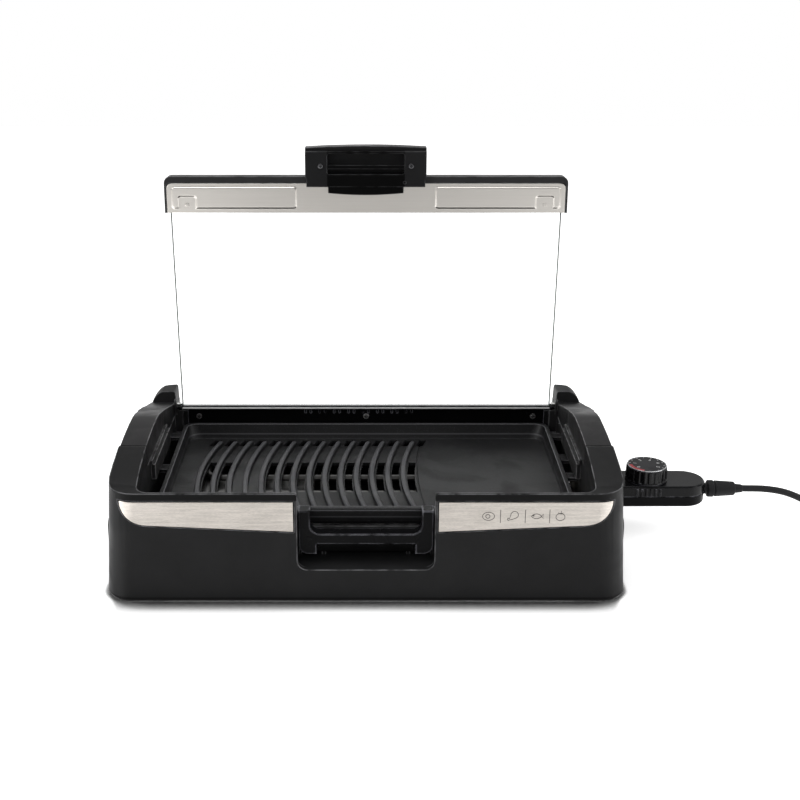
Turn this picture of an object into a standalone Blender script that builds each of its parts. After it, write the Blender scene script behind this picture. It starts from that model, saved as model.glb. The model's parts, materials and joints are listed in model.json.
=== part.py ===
"""Electric table grill with a hinged glass lid, a drip tray and a plug-in thermostat.

Metres, +Z up. The grill faces -Y and stands on z = 0. Every piece is modelled about
the middle of the casing, and one root empty then moves the whole model so that its
origin lies under the middle of the box around casing, lid and thermostat.
The lid is modelled standing straight up about its hinge axis and leans back a little.
"""

import math

import bmesh
import bpy
from mathutils import Vector

# General values
CLEARANCE = 0.0003
OVERRUN = 0.0100
SINK = 0.0008
SCREW_CROWN_SHARE = 2 / 3
SIDES = (("left", -1), ("right", 1))
CORNER_STEPS = 6
QUARTER_TURN = math.pi / 2
CURVE_STEPS = 10

# Casing: width and depth at the top edge of the front wall, flare towards the foot
BASE_WIDTH = 0.4770
BASE_DEPTH = 0.3000
SIDE_FLARE = 0.0060
FRONT_FLARE = 0.0034
BASE_LIFT = 0.0025
BOTTOM_ROUND = 0.0090
BASE_CORNER_RADIUS = 0.0260
FRONT_HEIGHT = 0.1088
REAR_FALL = 0.0158
REAR_HEIGHT = FRONT_HEIGHT - REAR_FALL
ARM_RISE = 0.0200
WALL = 0.0030
LINER_WALL = 0.0025

# Arm outline from the side, as shares of half the depth and of the rise or the fall
ARM_FRONT_SHARES = (
    (-1.0, 0.0),
    (-0.905, 0.035),
    (-0.85, 0.235),
    (-0.72, 0.53),
    (-0.525, 0.805),
    (-0.345, 0.935),
    (-0.18, 0.99),
    (-0.04, 1.0),
)
ARM_REAR_SHARES = (
    (0.06, 0.05),
    (0.207, 0.19),
    (0.42, 0.413),
    (0.587, 0.62),
    (0.727, 0.777),
    (0.86, 0.92),
    (1.0, 1.0),
)

# Well of the casing, seams and seats of the covers on the arms
ARM_WIDTH = 0.0275
WELL_WIDTH = BASE_WIDTH - 2 * ARM_WIDTH
WELL_CORNER_RADIUS = 0.0120
FLOOR_THICKNESS = 0.0030
REAR_BAY = 0.0366
BULKHEAD_Y = BASE_DEPTH / 2 - REAR_BAY
BULKHEAD_DROP = 0.0008
BULKHEAD_TOP = REAR_HEIGHT - BULKHEAD_DROP
SEAM_SETBACK = 0.0756
SEAM_FRONT = SEAM_SETBACK - BASE_DEPTH / 2
HANDLE_COVER_LENGTH = 0.1077
SEAM_REAR = SEAM_FRONT + HANDLE_COVER_LENGTH
HANDLE_SEAT_DROP = 0.0041
HANDLE_SEAT = FRONT_HEIGHT - HANDLE_SEAT_DROP
CAP_SEAT_DROP = 0.0053
CAP_SEAT = REAR_HEIGHT - CAP_SEAT_DROP
COVER_WALL = 0.0025
HANDLE_INSET = 0.0012
RECESS_FRONT_MARGIN = 0.0100
RECESS_FRONT = SEAM_FRONT + RECESS_FRONT_MARGIN
RECESS_REAR_MARGIN = 0.0077
RECESS_REAR = SEAM_REAR - RECESS_REAR_MARGIN
RECESS_DEPTH = 0.0427
RECESS_BOTTOM = HANDLE_SEAT - RECESS_DEPTH

# Ears at the rear of the arms
EAR_LENGTH = 0.0245
EAR_FRONT = BASE_DEPTH / 2 - EAR_LENGTH
EAR_RISE = 0.0165
EAR_TOP = REAR_HEIGHT + EAR_RISE
EAR_ROOT = 0.0015
EAR_BOTTOM = REAR_HEIGHT - EAR_ROOT
EAR_OVERHANG = 0.0005
EAR_OUTER = BASE_WIDTH / 2 + EAR_OVERHANG
EAR_LEAN = 0.0125
EAR_CROWN = EAR_OUTER - EAR_LEAN
EAR_ROUND = 0.0018

# Notch in the front wall, its cheeks and the guides of the tray
NOTCH_WIDTH = 0.1268
NOTCH_ROUND = 0.0090
TRAY_SIDE_GAP = 0.0034
TRAY_WIDTH = NOTCH_WIDTH - 2 * TRAY_SIDE_GAP
CHEEK_DEPTH = 0.0245
CHEEK_DROP = 0.0248
CHEEK_TOP = FRONT_HEIGHT - CHEEK_DROP
GUIDE_HEIGHT = 0.0110
SKID_HEIGHT = 0.0037
SKID_WIDTH = 0.0040
SKID_INSET = 0.0200
SKID_SPACING = TRAY_WIDTH - 2 * SKID_INSET

# Feet under the casing
FOOT_RADIUS = 0.0090
FOOT_INSET_X = 0.0385
FOOT_INSET_Y = 0.0280

# Trim plates on the front wall
TRIM_NOTCH_GAP = 0.0027
TRIM_INNER = NOTCH_WIDTH / 2 + TRIM_NOTCH_GAP
TRIM_SIDE_MARGIN = 0.0115
TRIM_OUTER = BASE_WIDTH / 2 - TRIM_SIDE_MARGIN
TRIM_TOP_MARGIN = 0.0076
TRIM_TOP = FRONT_HEIGHT - TRIM_TOP_MARGIN
TRIM_DROP_INNER = 0.0304
TRIM_DROP_OUTER = 0.0240
TRIM_CORNER_WIDTH = 0.0260
TRIM_PROUD = 0.0003
TRIM_THICKNESS = 0.0009

# Ledges on the inner side of the arms
GUARD_FRONT_MARGIN = 0.0150
GUARD_FRONT = SEAM_FRONT + GUARD_FRONT_MARGIN
GUARD_OVERLAP = 0.0053
GUARD_REAR = SEAM_REAR + GUARD_OVERLAP
GUARD_DROP = 0.0048
GUARD_TOP = FRONT_HEIGHT - GUARD_DROP
GUARD_HEIGHT = 0.0200
GUARD_BOTTOM = GUARD_TOP - GUARD_HEIGHT
GUARD_STEP = 0.0040
GUARD_UPPER_WIDTH = 0.0023
GUARD_LOWER_WIDTH = 0.0047

# Support tabs of the grill plate, with their places as shares of its depth
TAB_TOP_GAP = 0.0003
TAB_HEIGHT = 0.0036
TAB_LENGTH = 0.0120
TAB_LENGTH_WIDE = 0.0160
TAB_REAR_SHARE = 0.867
TAB_MIDDLE_LEFT_SHARE = 0.475
TAB_MIDDLE_RIGHT_SHARE = 0.588
TAB_FRONT_RIGHT_SHARE = 0.379

# Grill plate
PLATE_SIDE_GAP = 0.0110
PLATE_WIDTH = WELL_WIDTH - 2 * PLATE_SIDE_GAP
PLATE_SETBACK = 0.0300
PLATE_FRONT = PLATE_SETBACK - BASE_DEPTH / 2
PLATE_REAR_GAP = 0.0090
PLATE_DEPTH = BULKHEAD_Y - PLATE_REAR_GAP - PLATE_FRONT
RIM_DROP = 0.0279
RIM_HEIGHT = FRONT_HEIGHT - RIM_DROP
RIM_THICKNESS = 0.0030
RIM_OVERHANG = 0.0027
RIM_RADIUS = 0.0100
POCKET_DEPTH = 0.0157
PLATE_FLOOR = RIM_HEIGHT - POCKET_DEPTH
PLATE_SKIN = 0.0037
PLATE_WALL = 0.0020
SIDE_SLOPE = 0.0016
FRONT_SLOPE = 0.0030
POCKET_RADIUS = 0.0150

# Ribs, windows and groove of the grill plate
RIB_COUNT = 14
RIB_PITCH = 0.0160
RIB_FIRST_MARGIN = 0.0436
RIB_LAST_X = RIB_FIRST_MARGIN - PLATE_WIDTH / 2 + (RIB_COUNT - 1) * RIB_PITCH
RIB_BACK_MARGIN = 0.0240
RIB_BACK = PLATE_FRONT + PLATE_DEPTH - RIB_BACK_MARGIN
RIB_FRONT_MARGIN = 0.0225
RIB_FRONT = PLATE_FRONT + RIB_FRONT_MARGIN
RIB_SAG = 0.0120
RIB_DRIFT = 0.0033
RIB_HEIGHT = 0.0048
RIB_BASE_WIDTH = 0.0064
RIB_TOP_WIDTH = 0.0040
RIB_END = 0.0050
RIB_STEPS = 12
CLOSED_GAPS = (3, 4)
WINDOW_WIDTH = 0.0076
WINDOW_FRONT_MARGIN = 0.0494
WINDOW_FRONT = RIB_FRONT + WINDOW_FRONT_MARGIN
WINDOW_REAR_MARGIN = 0.0531
WINDOW_REAR = RIB_BACK - WINDOW_REAR_MARGIN
SMALL_WINDOW_OVERLAP = 0.0071
SMALL_WINDOW_FRONT = RIB_BACK - SMALL_WINDOW_OVERLAP
SMALL_WINDOW_REACH = 0.0101
SMALL_WINDOW_REAR = RIB_BACK + SMALL_WINDOW_REACH
WINDOW_STEPS = 4
GROOVE_GAP = 0.0084
GROOVE_X = RIB_LAST_X + GROOVE_GAP
GROOVE_BOW = 0.0075
GROOVE_WIDTH = 0.0016
GROOVE_DEPTH = 0.0012
GROOVE_FRONT_REACH = 0.0025
GROOVE_FRONT = RIB_FRONT - GROOVE_FRONT_REACH
GROOVE_REAR_REACH = 0.0056
GROOVE_REAR = RIB_BACK + GROOVE_REAR_REACH

# Heating element, its terminals and the reflector below it
ELEMENT_RADIUS = 0.0032
ELEMENT_GAP = 0.0004
ELEMENT_HEIGHT = PLATE_FLOOR - PLATE_SKIN - ELEMENT_GAP - ELEMENT_RADIUS
ELEMENT_BEND = 0.0180
ELEMENT_LEFT_MARGIN = 0.0350
ELEMENT_LEFT = ELEMENT_LEFT_MARGIN - PLATE_WIDTH / 2
ELEMENT_RIGHT_MARGIN = 0.0360
ELEMENT_RIGHT = PLATE_WIDTH / 2 - ELEMENT_RIGHT_MARGIN
ELEMENT_LOOP_INSET = 0.0440
ELEMENT_INNER_RIGHT = ELEMENT_RIGHT - ELEMENT_LOOP_INSET
ELEMENT_REAR_MARGIN = 0.0424
ELEMENT_RUN_REAR = PLATE_FRONT + PLATE_DEPTH - ELEMENT_REAR_MARGIN
ELEMENT_RUN_MIDDLE = 0.0040
ELEMENT_RUN_SPACING = 0.0400
ELEMENT_RUN_INNER = ELEMENT_RUN_MIDDLE - ELEMENT_RUN_SPACING
ELEMENT_FRONT_MARGIN = 0.0380
ELEMENT_RUN_FRONT = PLATE_FRONT + ELEMENT_FRONT_MARGIN
TERMINAL_SPACING = 0.0200
TERMINAL_BLOCK_GAP = 0.0018
TERMINAL_BLOCK_RIGHT = WELL_WIDTH / 2 - TERMINAL_BLOCK_GAP
TERMINAL_BLOCK_LENGTH = 0.0117
TERMINAL_BLOCK_LEFT = TERMINAL_BLOCK_RIGHT - TERMINAL_BLOCK_LENGTH
TERMINAL_BLOCK_WIDTH = 0.0340
TERMINAL_BLOCK_HEIGHT = 0.0190
TERMINAL_PIN_RADIUS = 0.0020
TERMINAL_PIN_REACH = 0.0253
TERMINAL_PIN_END = TERMINAL_BLOCK_RIGHT + TERMINAL_PIN_REACH
REFLECTOR_SIDE_MARGIN = 0.0260
REFLECTOR_WIDTH = PLATE_WIDTH - 2 * REFLECTOR_SIDE_MARGIN
REFLECTOR_FRONT_MARGIN = 0.0150
REFLECTOR_FRONT = PLATE_FRONT + REFLECTOR_FRONT_MARGIN
REFLECTOR_REAR_MARGIN = 0.0084
REFLECTOR_REAR = PLATE_FRONT + PLATE_DEPTH - REFLECTOR_REAR_MARGIN
REFLECTOR_DROP = 0.0022
REFLECTOR_EDGE_HEIGHT = ELEMENT_HEIGHT - ELEMENT_RADIUS - REFLECTOR_DROP
REFLECTOR_FALL = 0.0035
REFLECTOR_SLOT_HEIGHT = REFLECTOR_EDGE_HEIGHT - REFLECTOR_FALL
REFLECTOR_SLOT_INSET = 0.0050
REFLECTOR_SLOT_WIDTH = TRAY_WIDTH - 2 * REFLECTOR_SLOT_INSET
SLOT_FRONT_MARGIN = 0.0150
REFLECTOR_SLOT_FRONT = REFLECTOR_FRONT + SLOT_FRONT_MARGIN
SLOT_REAR_MARGIN = 0.0220
REFLECTOR_SLOT_REAR = REFLECTOR_REAR - SLOT_REAR_MARGIN
REFLECTOR_SHEET = 0.0008

# Posts under the reflector
POST_RADIUS = 0.0050
POST_INSET = 0.0240
POST_SPACING_X = REFLECTOR_WIDTH - 2 * POST_INSET
POST_FRONT_MARGIN = 0.0150
POST_FRONT = REFLECTOR_FRONT + POST_FRONT_MARGIN
POST_REAR_MARGIN = 0.0160
POST_REAR = REFLECTOR_REAR - POST_REAR_MARGIN

# Drip tray and its grip
TRAY_SETBACK = 0.0271
TRAY_FRONT = TRAY_SETBACK - BASE_DEPTH / 2
TRAY_OVERLAP = 0.0036
TRAY_REAR = REFLECTOR_SLOT_REAR + TRAY_OVERLAP
TRAY_HEIGHT = 0.0106
TRAY_WALL = 0.0016
TRAY_GAP = 0.0006
TRAY_BOTTOM = REFLECTOR_SLOT_HEIGHT - REFLECTOR_SHEET - TRAY_GAP - TRAY_HEIGHT
TRAY_CORNER_RADIUS = 0.0080
TRAY_FRONT_WALL = 0.0025
GRIP_SIDE_GAP = 0.0004
GRIP_WIDTH = NOTCH_WIDTH - 2 * GRIP_SIDE_GAP
GRIP_DEPTH = 0.0135
GRIP_FRONT = TRAY_FRONT - GRIP_DEPTH
GRIP_POST_WIDTH = 0.0120
GRIP_LOBE_WIDTH = 0.0140
GRIP_LIFT = 0.0010
GRIP_BOTTOM = TRAY_BOTTOM + GRIP_LIFT
GRIP_RISE = 0.0044
GRIP_TOP = RIM_HEIGHT + GRIP_RISE
GRIP_LOBE_HEIGHT = 0.0100
GRIP_BAR_BOTTOM = GRIP_BOTTOM + GRIP_LOBE_HEIGHT
GRIP_BAR_HEIGHT = 0.0105
GRIP_BAR_TOP = GRIP_BAR_BOTTOM + GRIP_BAR_HEIGHT
TRAY_FRONT_RISE = 0.0050
TRAY_FRONT_TOP = GRIP_BAR_TOP + TRAY_FRONT_RISE
GRIP_ROUND = 0.0090
GRIP_EDGE = 0.0008
WELL_FLOOR = TRAY_BOTTOM - SKID_HEIGHT - CLEARANCE

# Rear panel behind the grill plate
DECK_RISE = 0.0020
PANEL_DECK = REAR_HEIGHT + DECK_RISE
PANEL_DROP = 0.0250
PANEL_BOTTOM = PANEL_DECK - PANEL_DROP
PANEL_THICKNESS = 0.0025
DECK_SETBACK = 0.0045
VENT_COUNT = 8
VENT_PITCH = 0.0159
VENT_PAIR = 0.0060
VENT_LEFT = -0.0670
VENT_WIDTH = 0.0016
VENT_DROP = 0.0100
VENT_BOTTOM = PANEL_DECK - VENT_DROP
VENT_HEIGHT = 0.0055
PANEL_SCREW_DROP = 0.0128
PANEL_SCREW_HEIGHT = PANEL_DECK - PANEL_SCREW_DROP
PANEL_SCREW_HEAD = 0.0032
PANEL_SCREW_HEAD_HEIGHT = 0.0014
PANEL_SCREW_SHANK = 0.0013

# Hinge of the lid
HINGE_SETBACK = 0.0048
HINGE_Y = BULKHEAD_Y - HINGE_SETBACK
HINGE_RISE = 0.0057
HINGE_HEIGHT = PANEL_DECK + HINGE_RISE
LID_LEAN = math.radians(2.5)
HINGE_BAR_DROP = 0.0035
HINGE_BAR_RISE = 0.0018
HINGE_BAR_FRONT = 0.0025
HINGE_BAR_BACK = 0.0065
HINGE_BAR_WEB = 0.0022
LUG_RADIUS = 0.0052
HEEL_DROP = 0.0088
HEEL_THICKNESS = 0.0045
HEEL_FRONT = 0.0024
PIN_RADIUS = 0.0020
BORE_GAP = 0.0003
BRACKET_GAP = 0.0004
BRACKET_OUTER = WELL_WIDTH / 2 - BRACKET_GAP
BRACKET_WIDTH = 0.0091
BRACKET_INNER = BRACKET_OUTER - BRACKET_WIDTH
BRACKET_CHEEK = 0.0024
LUG_GAP = 0.0006
LUG_OUTER = BRACKET_OUTER - BRACKET_CHEEK - LUG_GAP
LUG_THICKNESS = 0.0047
LUG_INNER = LUG_OUTER - LUG_THICKNESS
PIN_SEAT = 0.0011
PIN_INNER = LUG_INNER + PIN_SEAT
HINGE_BAR_OVERLAP = 0.0006
HINGE_BAR_LENGTH = 2 * LUG_INNER + 2 * HINGE_BAR_OVERLAP
BRACKET_REACH = 0.0049
BRACKET_FRONT = HINGE_Y - BRACKET_REACH
BRACKET_REAR = BULKHEAD_Y - BRACKET_GAP
BRACKET_HEIGHT = 0.0307
BRACKET_BOTTOM = HINGE_HEIGHT - BRACKET_HEIGHT
BRACKET_DROP = 0.0102
BRACKET_TOP = HINGE_HEIGHT - BRACKET_DROP
BRACKET_CHEEK_RISE = 0.0055
BRACKET_CHEEK_TOP = HINGE_HEIGHT + BRACKET_CHEEK_RISE
SHELF_HEIGHT = 0.0060
PANEL_SIDE_GAP = 0.0045
PANEL_WIDTH = 2 * BRACKET_INNER - 2 * PANEL_SIDE_GAP
PANEL_SCREW_INSET = 0.0125
PANEL_SCREW_SPACING = PANEL_WIDTH / 2 - PANEL_SCREW_INSET

# Lid: heights are measured from the hinge axis along the standing glass
GLASS_THICKNESS = 0.0040
GLASS_INSET = 0.0012
GLASS_BOTTOM_WIDTH = HINGE_BAR_LENGTH - 2 * GLASS_INSET
GLASS_FLARE = 0.0037
GLASS_TOP_WIDTH = GLASS_BOTTOM_WIDTH + 2 * GLASS_FLARE
GLASS_BOTTOM = -0.0010
LID_FRONT_GAP = 0.0186
GLASS_TOP = HINGE_Y + BASE_DEPTH / 2 - LID_FRONT_GAP
RAIL_OVERHANG = 0.0047
RAIL_WIDTH = GLASS_TOP_WIDTH + 2 * RAIL_OVERHANG
RAIL_OVERLAP = 0.0280
RAIL_BOTTOM = GLASS_TOP - RAIL_OVERLAP
RAIL_RISE = 0.0100
RAIL_TOP = GLASS_TOP + RAIL_RISE
RAIL_FRONT = 0.0050
RAIL_BACK = 0.0120
RAIL_RADIUS = 0.0070
RAIL_EDGE = 0.0025
INNER_PLATE_INSET = 0.0027
INNER_PLATE_WIDTH = RAIL_WIDTH - 2 * INNER_PLATE_INSET
INNER_PLATE_LIFT = 0.0002
INNER_PLATE_BOTTOM = RAIL_BOTTOM + INNER_PLATE_LIFT
INNER_PLATE_DROP = 0.0074
INNER_PLATE_TOP = RAIL_TOP - INNER_PLATE_DROP
INNER_PLATE_THICKNESS = 0.0008
LID_PANEL_MARGIN = 0.0054
LID_PANEL_OUTER = INNER_PLATE_WIDTH / 2 - LID_PANEL_MARGIN
LID_PANEL_LENGTH = 0.1296
LID_PANEL_INNER = LID_PANEL_OUTER - LID_PANEL_LENGTH
LID_PANEL_LOWER_MARGIN = 0.0050
LID_PANEL_BOTTOM = INNER_PLATE_BOTTOM + LID_PANEL_LOWER_MARGIN
LID_PANEL_UPPER_MARGIN = 0.0038
LID_PANEL_TOP = INNER_PLATE_TOP - LID_PANEL_UPPER_MARGIN
LID_PANEL_DEPTH = 0.0003
LID_PANEL_RADIUS = 0.0020
POCKET_MARGIN = 0.0064
POCKET_OUTER = LID_PANEL_OUTER - POCKET_MARGIN
POCKET_WIDTH = 0.0187
POCKET_INNER = POCKET_OUTER - POCKET_WIDTH
POCKET_LIFT = 0.0002
POCKET_BOTTOM = LID_PANEL_BOTTOM + POCKET_LIFT
POCKET_HEIGHT = 0.0124
POCKET_TOP = POCKET_BOTTOM + POCKET_HEIGHT
LID_SCREW_INSET = 0.0092
LID_SCREW_X = POCKET_OUTER - LID_SCREW_INSET
LID_SCREW_RISE = 0.0031
LID_SCREW_HEIGHT = POCKET_BOTTOM + LID_SCREW_RISE
LID_SCREW_HEAD = 0.0024
LID_SCREW_HEAD_HEIGHT = 0.0010
LID_SCREW_SHANK = 0.0012
LID_SCREW_LENGTH = 0.0030

# Handle on the lid
HANDLE_NOTCH_GAP = 0.0010
HANDLE_WIDTH = NOTCH_WIDTH - 2 * HANDLE_NOTCH_GAP
HANDLE_HEIGHT = 0.0320
HANDLE_TOP = RAIL_TOP + HANDLE_HEIGHT
HANDLE_ARCH = 0.0020
HANDLE_BACK = 0.0140
HANDLE_ROOF = 0.0035
HANDLE_CAVITY_DEPTH = 0.0090
HANDLE_EDGE = 0.0020
FACE_BACK = 0.0043
FACE_FRONT = 0.0120
FACE_DROP = 0.0030
FACE_TOP = HANDLE_TOP - FACE_DROP
FACE_OVERLAP = 0.0100
FACE_BOTTOM = RAIL_TOP - FACE_OVERLAP
FACE_SIDE_INSET = 0.0002
FACE_WIDTH = HANDLE_WIDTH - 2 * FACE_SIDE_INSET
FACE_STRIP_INSET = 0.0012
FACE_STRIP_WIDTH = FACE_WIDTH - 2 * FACE_STRIP_INSET
FACE_SHOULDER_DROP = 0.0005
FACE_SHOULDER = RAIL_TOP - FACE_SHOULDER_DROP
FACE_CHEEK_WIDTH = 0.0227
FACE_WINDOW_WIDTH = FACE_WIDTH - 2 * FACE_CHEEK_WIDTH
FACE_SILL = 0.0040
FACE_WINDOW_BOTTOM = RAIL_TOP + FACE_SILL
FACE_LINTEL = 0.0025
FACE_WINDOW_TOP = FACE_TOP - FACE_LINTEL
FACE_BAR_RISE = 0.0056
FACE_BAR_BOTTOM = FACE_WINDOW_BOTTOM + FACE_BAR_RISE
FACE_BAR_HEIGHT = 0.0044
FACE_BAR_TOP = FACE_BAR_BOTTOM + FACE_BAR_HEIGHT
FACE_BAR_DEPTH = 0.0040
TONGUE_INSET = 0.00075
TONGUE_WIDTH = FACE_WINDOW_WIDTH - 2 * TONGUE_INSET
TONGUE_DROP = 0.0084
TONGUE_BOTTOM = FACE_BOTTOM - TONGUE_DROP
TONGUE_BACK = 0.0080
TONGUE_SETBACK = 0.0010
TONGUE_FRONT = FACE_FRONT - TONGUE_SETBACK
TONGUE_BOW = 0.0020
HANDLE_SCREW_INSET = 0.0070
HANDLE_SCREW_X = FACE_WINDOW_WIDTH / 2 + HANDLE_SCREW_INSET
HANDLE_SCREW_DROP = 0.0010
HANDLE_SCREW_HEIGHT = FACE_BAR_TOP - HANDLE_SCREW_DROP
HANDLE_SCREW_HEAD = 0.0026
HANDLE_SCREW_HEAD_HEIGHT = 0.0010
HANDLE_SCREW_SHANK = 0.0013
HANDLE_SCREW_LENGTH = 0.0110
BOSS_INSET = 0.0005
BOSS_X = FACE_WINDOW_WIDTH / 2 + BOSS_INSET
BOSS_RISE = 0.0050
BOSS_HEIGHT = FACE_BOTTOM + BOSS_RISE
BOSS_RADIUS = 0.0020
BOSS_PROUD = 0.0008

# Thermostat: its middle across the grill, its axis height and its pieces
THERMOSTAT_Y = 0.0056
PORT_RISE = 0.0123
THERMOSTAT_HEIGHT = WELL_FLOOR + PORT_RISE
HOUSING_STANDOFF = 0.0045
HOUSING_LEFT = BASE_WIDTH / 2 + HOUSING_STANDOFF
HOUSING_LENGTH = 0.1080
HOUSING_RIGHT = HOUSING_LEFT + HOUSING_LENGTH
HOUSING_WIDTH = 0.0440
HOUSING_HEIGHT = 0.0224
HOUSING_ROUND = 0.0040
HOUSING_EDGE = 0.0015
HOUSING_SKIN = 0.0022
GRIP_RIB_COUNT = 6
GRIP_RIB_PITCH = 0.0047
GRIP_RIB_MARGIN = 0.0347
GRIP_RIB_FIRST = HOUSING_LEFT + GRIP_RIB_MARGIN
GRIP_RIB_WIDTH = 0.0020
GRIP_RIB_PROUD = 0.0008
GRIP_RIB_DROP = 0.0022
GRIP_RIB_HEIGHT = HOUSING_HEIGHT / 2 - GRIP_RIB_DROP
PORT_GAP = 0.0006
LINER_PORT_WIDTH = 0.0310
LINER_PORT_HEIGHT = 0.0160
NOSE_LENGTH = 0.0167
NOSE_LEFT = HOUSING_LEFT - NOSE_LENGTH
NOSE_INSET_Y = 0.0040
NOSE_WIDTH = HOUSING_WIDTH - 2 * NOSE_INSET_Y
NOSE_INSET_Z = 0.0022
NOSE_HEIGHT = HOUSING_HEIGHT - 2 * NOSE_INSET_Z
SLEEVE_RADIUS = 0.0032
SLEEVE_BORE = 0.0023
SLEEVE_COVER = 0.0010
SLEEVE_END = HOUSING_LEFT - SLEEVE_COVER
PROBE_RADIUS = 0.0030
PROBE_REACH = 0.0710
PROBE_LEFT = HOUSING_LEFT - PROBE_REACH
KNOB_SETBACK = 0.0474
KNOB_X = HOUSING_LEFT + KNOB_SETBACK
KNOB_MARGIN = 0.0004
KNOB_RADIUS = HOUSING_WIDTH / 2 - KNOB_MARGIN
KNOB_TAPER = 0.0011
KNOB_TOP_RADIUS = KNOB_RADIUS - KNOB_TAPER
KNOB_HEIGHT = 0.0150
KNOB_SKIRT = 0.0016
FLUTE_COUNT = 20
FLUTE_DEPTH = 0.0012
KNOB_SHAFT_RADIUS = 0.0030
KNOB_SHAFT_DEPTH = 0.0080
DIAL_MARGIN = 0.0013
DIAL_OUTER = KNOB_TOP_RADIUS - DIAL_MARGIN
DIAL_WIDTH = 0.0072
DIAL_INNER = DIAL_OUTER - DIAL_WIDTH
DIAL_THICKNESS = 0.0006
KNOB_GRIP_WIDTH = 0.0060
KNOB_GRIP_HEIGHT = 0.0030

# Raised pads on both sides, the right one with the thermostat's port
PAD_END_MARGIN = 0.0500
PAD_LENGTH = BASE_DEPTH - 2 * PAD_END_MARGIN
PAD_LIFT = 0.0115
PAD_BOTTOM = BASE_LIFT + PAD_LIFT
PAD_RISE = 0.0035
PAD_TOP = THERMOSTAT_HEIGHT + HOUSING_HEIGHT / 2 + PAD_RISE
PAD_PROUD = 0.0060
PAD_ROUND = 0.0120
PAD_CHAMFER = 0.0030
PAD_ROOT = 0.0020

# Mains cord, its strain relief, its coil and its plug
CORD_DIAMETER = 0.0070
RELIEF_COLLAR_LENGTH = 0.0080
RELIEF_COLLAR_STEP = 0.0024
RELIEF_COLLAR_RADIUS = HOUSING_HEIGHT / 2 - RELIEF_COLLAR_STEP
RELIEF_LENGTH = 0.0320
RELIEF_STEP = 0.0008
RELIEF_ROOT_RADIUS = RELIEF_COLLAR_RADIUS - RELIEF_STEP
RELIEF_TAPER = 0.0020
RELIEF_TIP_RADIUS = RELIEF_ROOT_RADIUS - RELIEF_TAPER
RELIEF_RIBS = 5
RELIEF_RIB_DEPTH = 0.0008
RELIEF_RIB_SHARES = ((1 / 6, 1.0), (1 / 3, 1.0), (1 / 2, 0.0), (5 / 6, 0.0))
RELIEF_BORE_DEPTH = 0.0060
ROUTE_SAMPLES = 3
COIL_OUTER_RADIUS = 0.0470
COIL_PITCH = 0.0077
COIL_TURNS_IN = 2.25
COIL_TURNS_OUT = 2.5
COIL_TAIL = 0.0340
COIL_POINTS_PER_TURN = 24
COIL_DIP = 0.0024
COIL_LIFT = 0.0003
PLUG_LENGTH = 0.0420
PLUG_WIDTH = 0.0350
PLUG_THICKNESS = 0.0216
PLUG_NECK_LENGTH = 0.0120
PLUG_NECK_RADIUS = 0.0060
PLUG_ROUND = 0.0060
PLUG_SHOULDER_SHARE = 0.8
PLUG_PIN_SPACING = 0.0190
PLUG_PIN_RADIUS = 0.0024
PLUG_PIN_LENGTH = 0.0190
PLUG_PIN_ROOT = 0.0060

def clear_scene():
    for obj in list(bpy.data.objects):
        bpy.data.objects.remove(obj, do_unlink=True)


def material(name, colour, roughness, metallic=0.0, alpha=1.0):
    made = bpy.data.materials.new(name)
    made.use_nodes = True
    shader = made.node_tree.nodes["Principled BSDF"]
    shader.inputs["Base Color"].default_value = (*colour, 1.0)
    shader.inputs["Roughness"].default_value = roughness
    shader.inputs["Metallic"].default_value = metallic
    shader.inputs["Alpha"].default_value = alpha
    made.diffuse_color = (*colour, alpha)
    return made


def add_object(name, shape, surface=None):
    """Makes an object of a bmesh, with its faces turned outwards."""
    bmesh.ops.recalc_face_normals(shape, faces=shape.faces)
    mesh = bpy.data.meshes.new(name)
    shape.to_mesh(mesh)
    shape.free()
    obj = bpy.data.objects.new(name, mesh)
    if surface:
        mesh.materials.append(surface)
    bpy.context.collection.objects.link(obj)
    return obj


def loft(name, rings, surface=None, closed=False):
    """Skins a list of rings with equally many points, with end caps unless it is closed."""
    shape = bmesh.new()
    rows = [[shape.verts.new(point) for point in ring] for ring in rings]
    count = len(rows[0])
    pairs = list(zip(rows, rows[1:]))
    if closed:
        pairs.append((rows[-1], rows[0]))
    for lower, upper in pairs:
        for i in range(count):
            j = (i + 1) % count
            shape.faces.new((lower[i], lower[j], upper[j], upper[i]))
    if not closed:
        shape.faces.new(rows[0][::-1])
        shape.faces.new(rows[-1])
    return add_object(name, shape, surface)


def lift(outline, axis, place):
    """Puts a flat outline in space: (y, z) across X, (x, z) across Y or (x, y) across Z."""
    if axis == "X":
        return [(place, a, b) for a, b in outline]
    if axis == "Y":
        return [(a, place, b) for a, b in outline]
    return [(a, b, place) for a, b in outline]


def prism(name, outline, axis, low, high, surface=None):
    rings = [lift(outline, axis, low), lift(outline, axis, high)]
    return loft(name, rings, surface)


def box(name, x_range, y_range, z_range, surface=None):
    x0, x1 = sorted(x_range)
    y0, y1 = sorted(y_range)
    outline = [(x0, y0), (x1, y0), (x1, y1), (x0, y1)]
    return prism(name, outline, "Z", *sorted(z_range), surface)


def circle(radius, sides, centre=(0.0, 0.0)):
    turns = [2 * math.pi * i / sides for i in range(sides)]
    return [(centre[0] + radius * math.cos(t), centre[1] + radius * math.sin(t)) for t in turns]


def rounded_box_outline(low, high, radius, steps=CORNER_STEPS):
    """A rectangle from low to high with round corners, anticlockwise."""
    corners = (
        (high[0] - radius, low[1] + radius, -0.5),
        (high[0] - radius, high[1] - radius, 0.0),
        (low[0] + radius, high[1] - radius, 0.5),
        (low[0] + radius, low[1] + radius, 1.0),
    )
    outline = []
    for x, y, start in corners:
        for i in range(steps + 1):
            turn = math.pi * (start + 0.5 * i / steps)
            outline.append((x + radius * math.cos(turn), y + radius * math.sin(turn)))
    return outline


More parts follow.
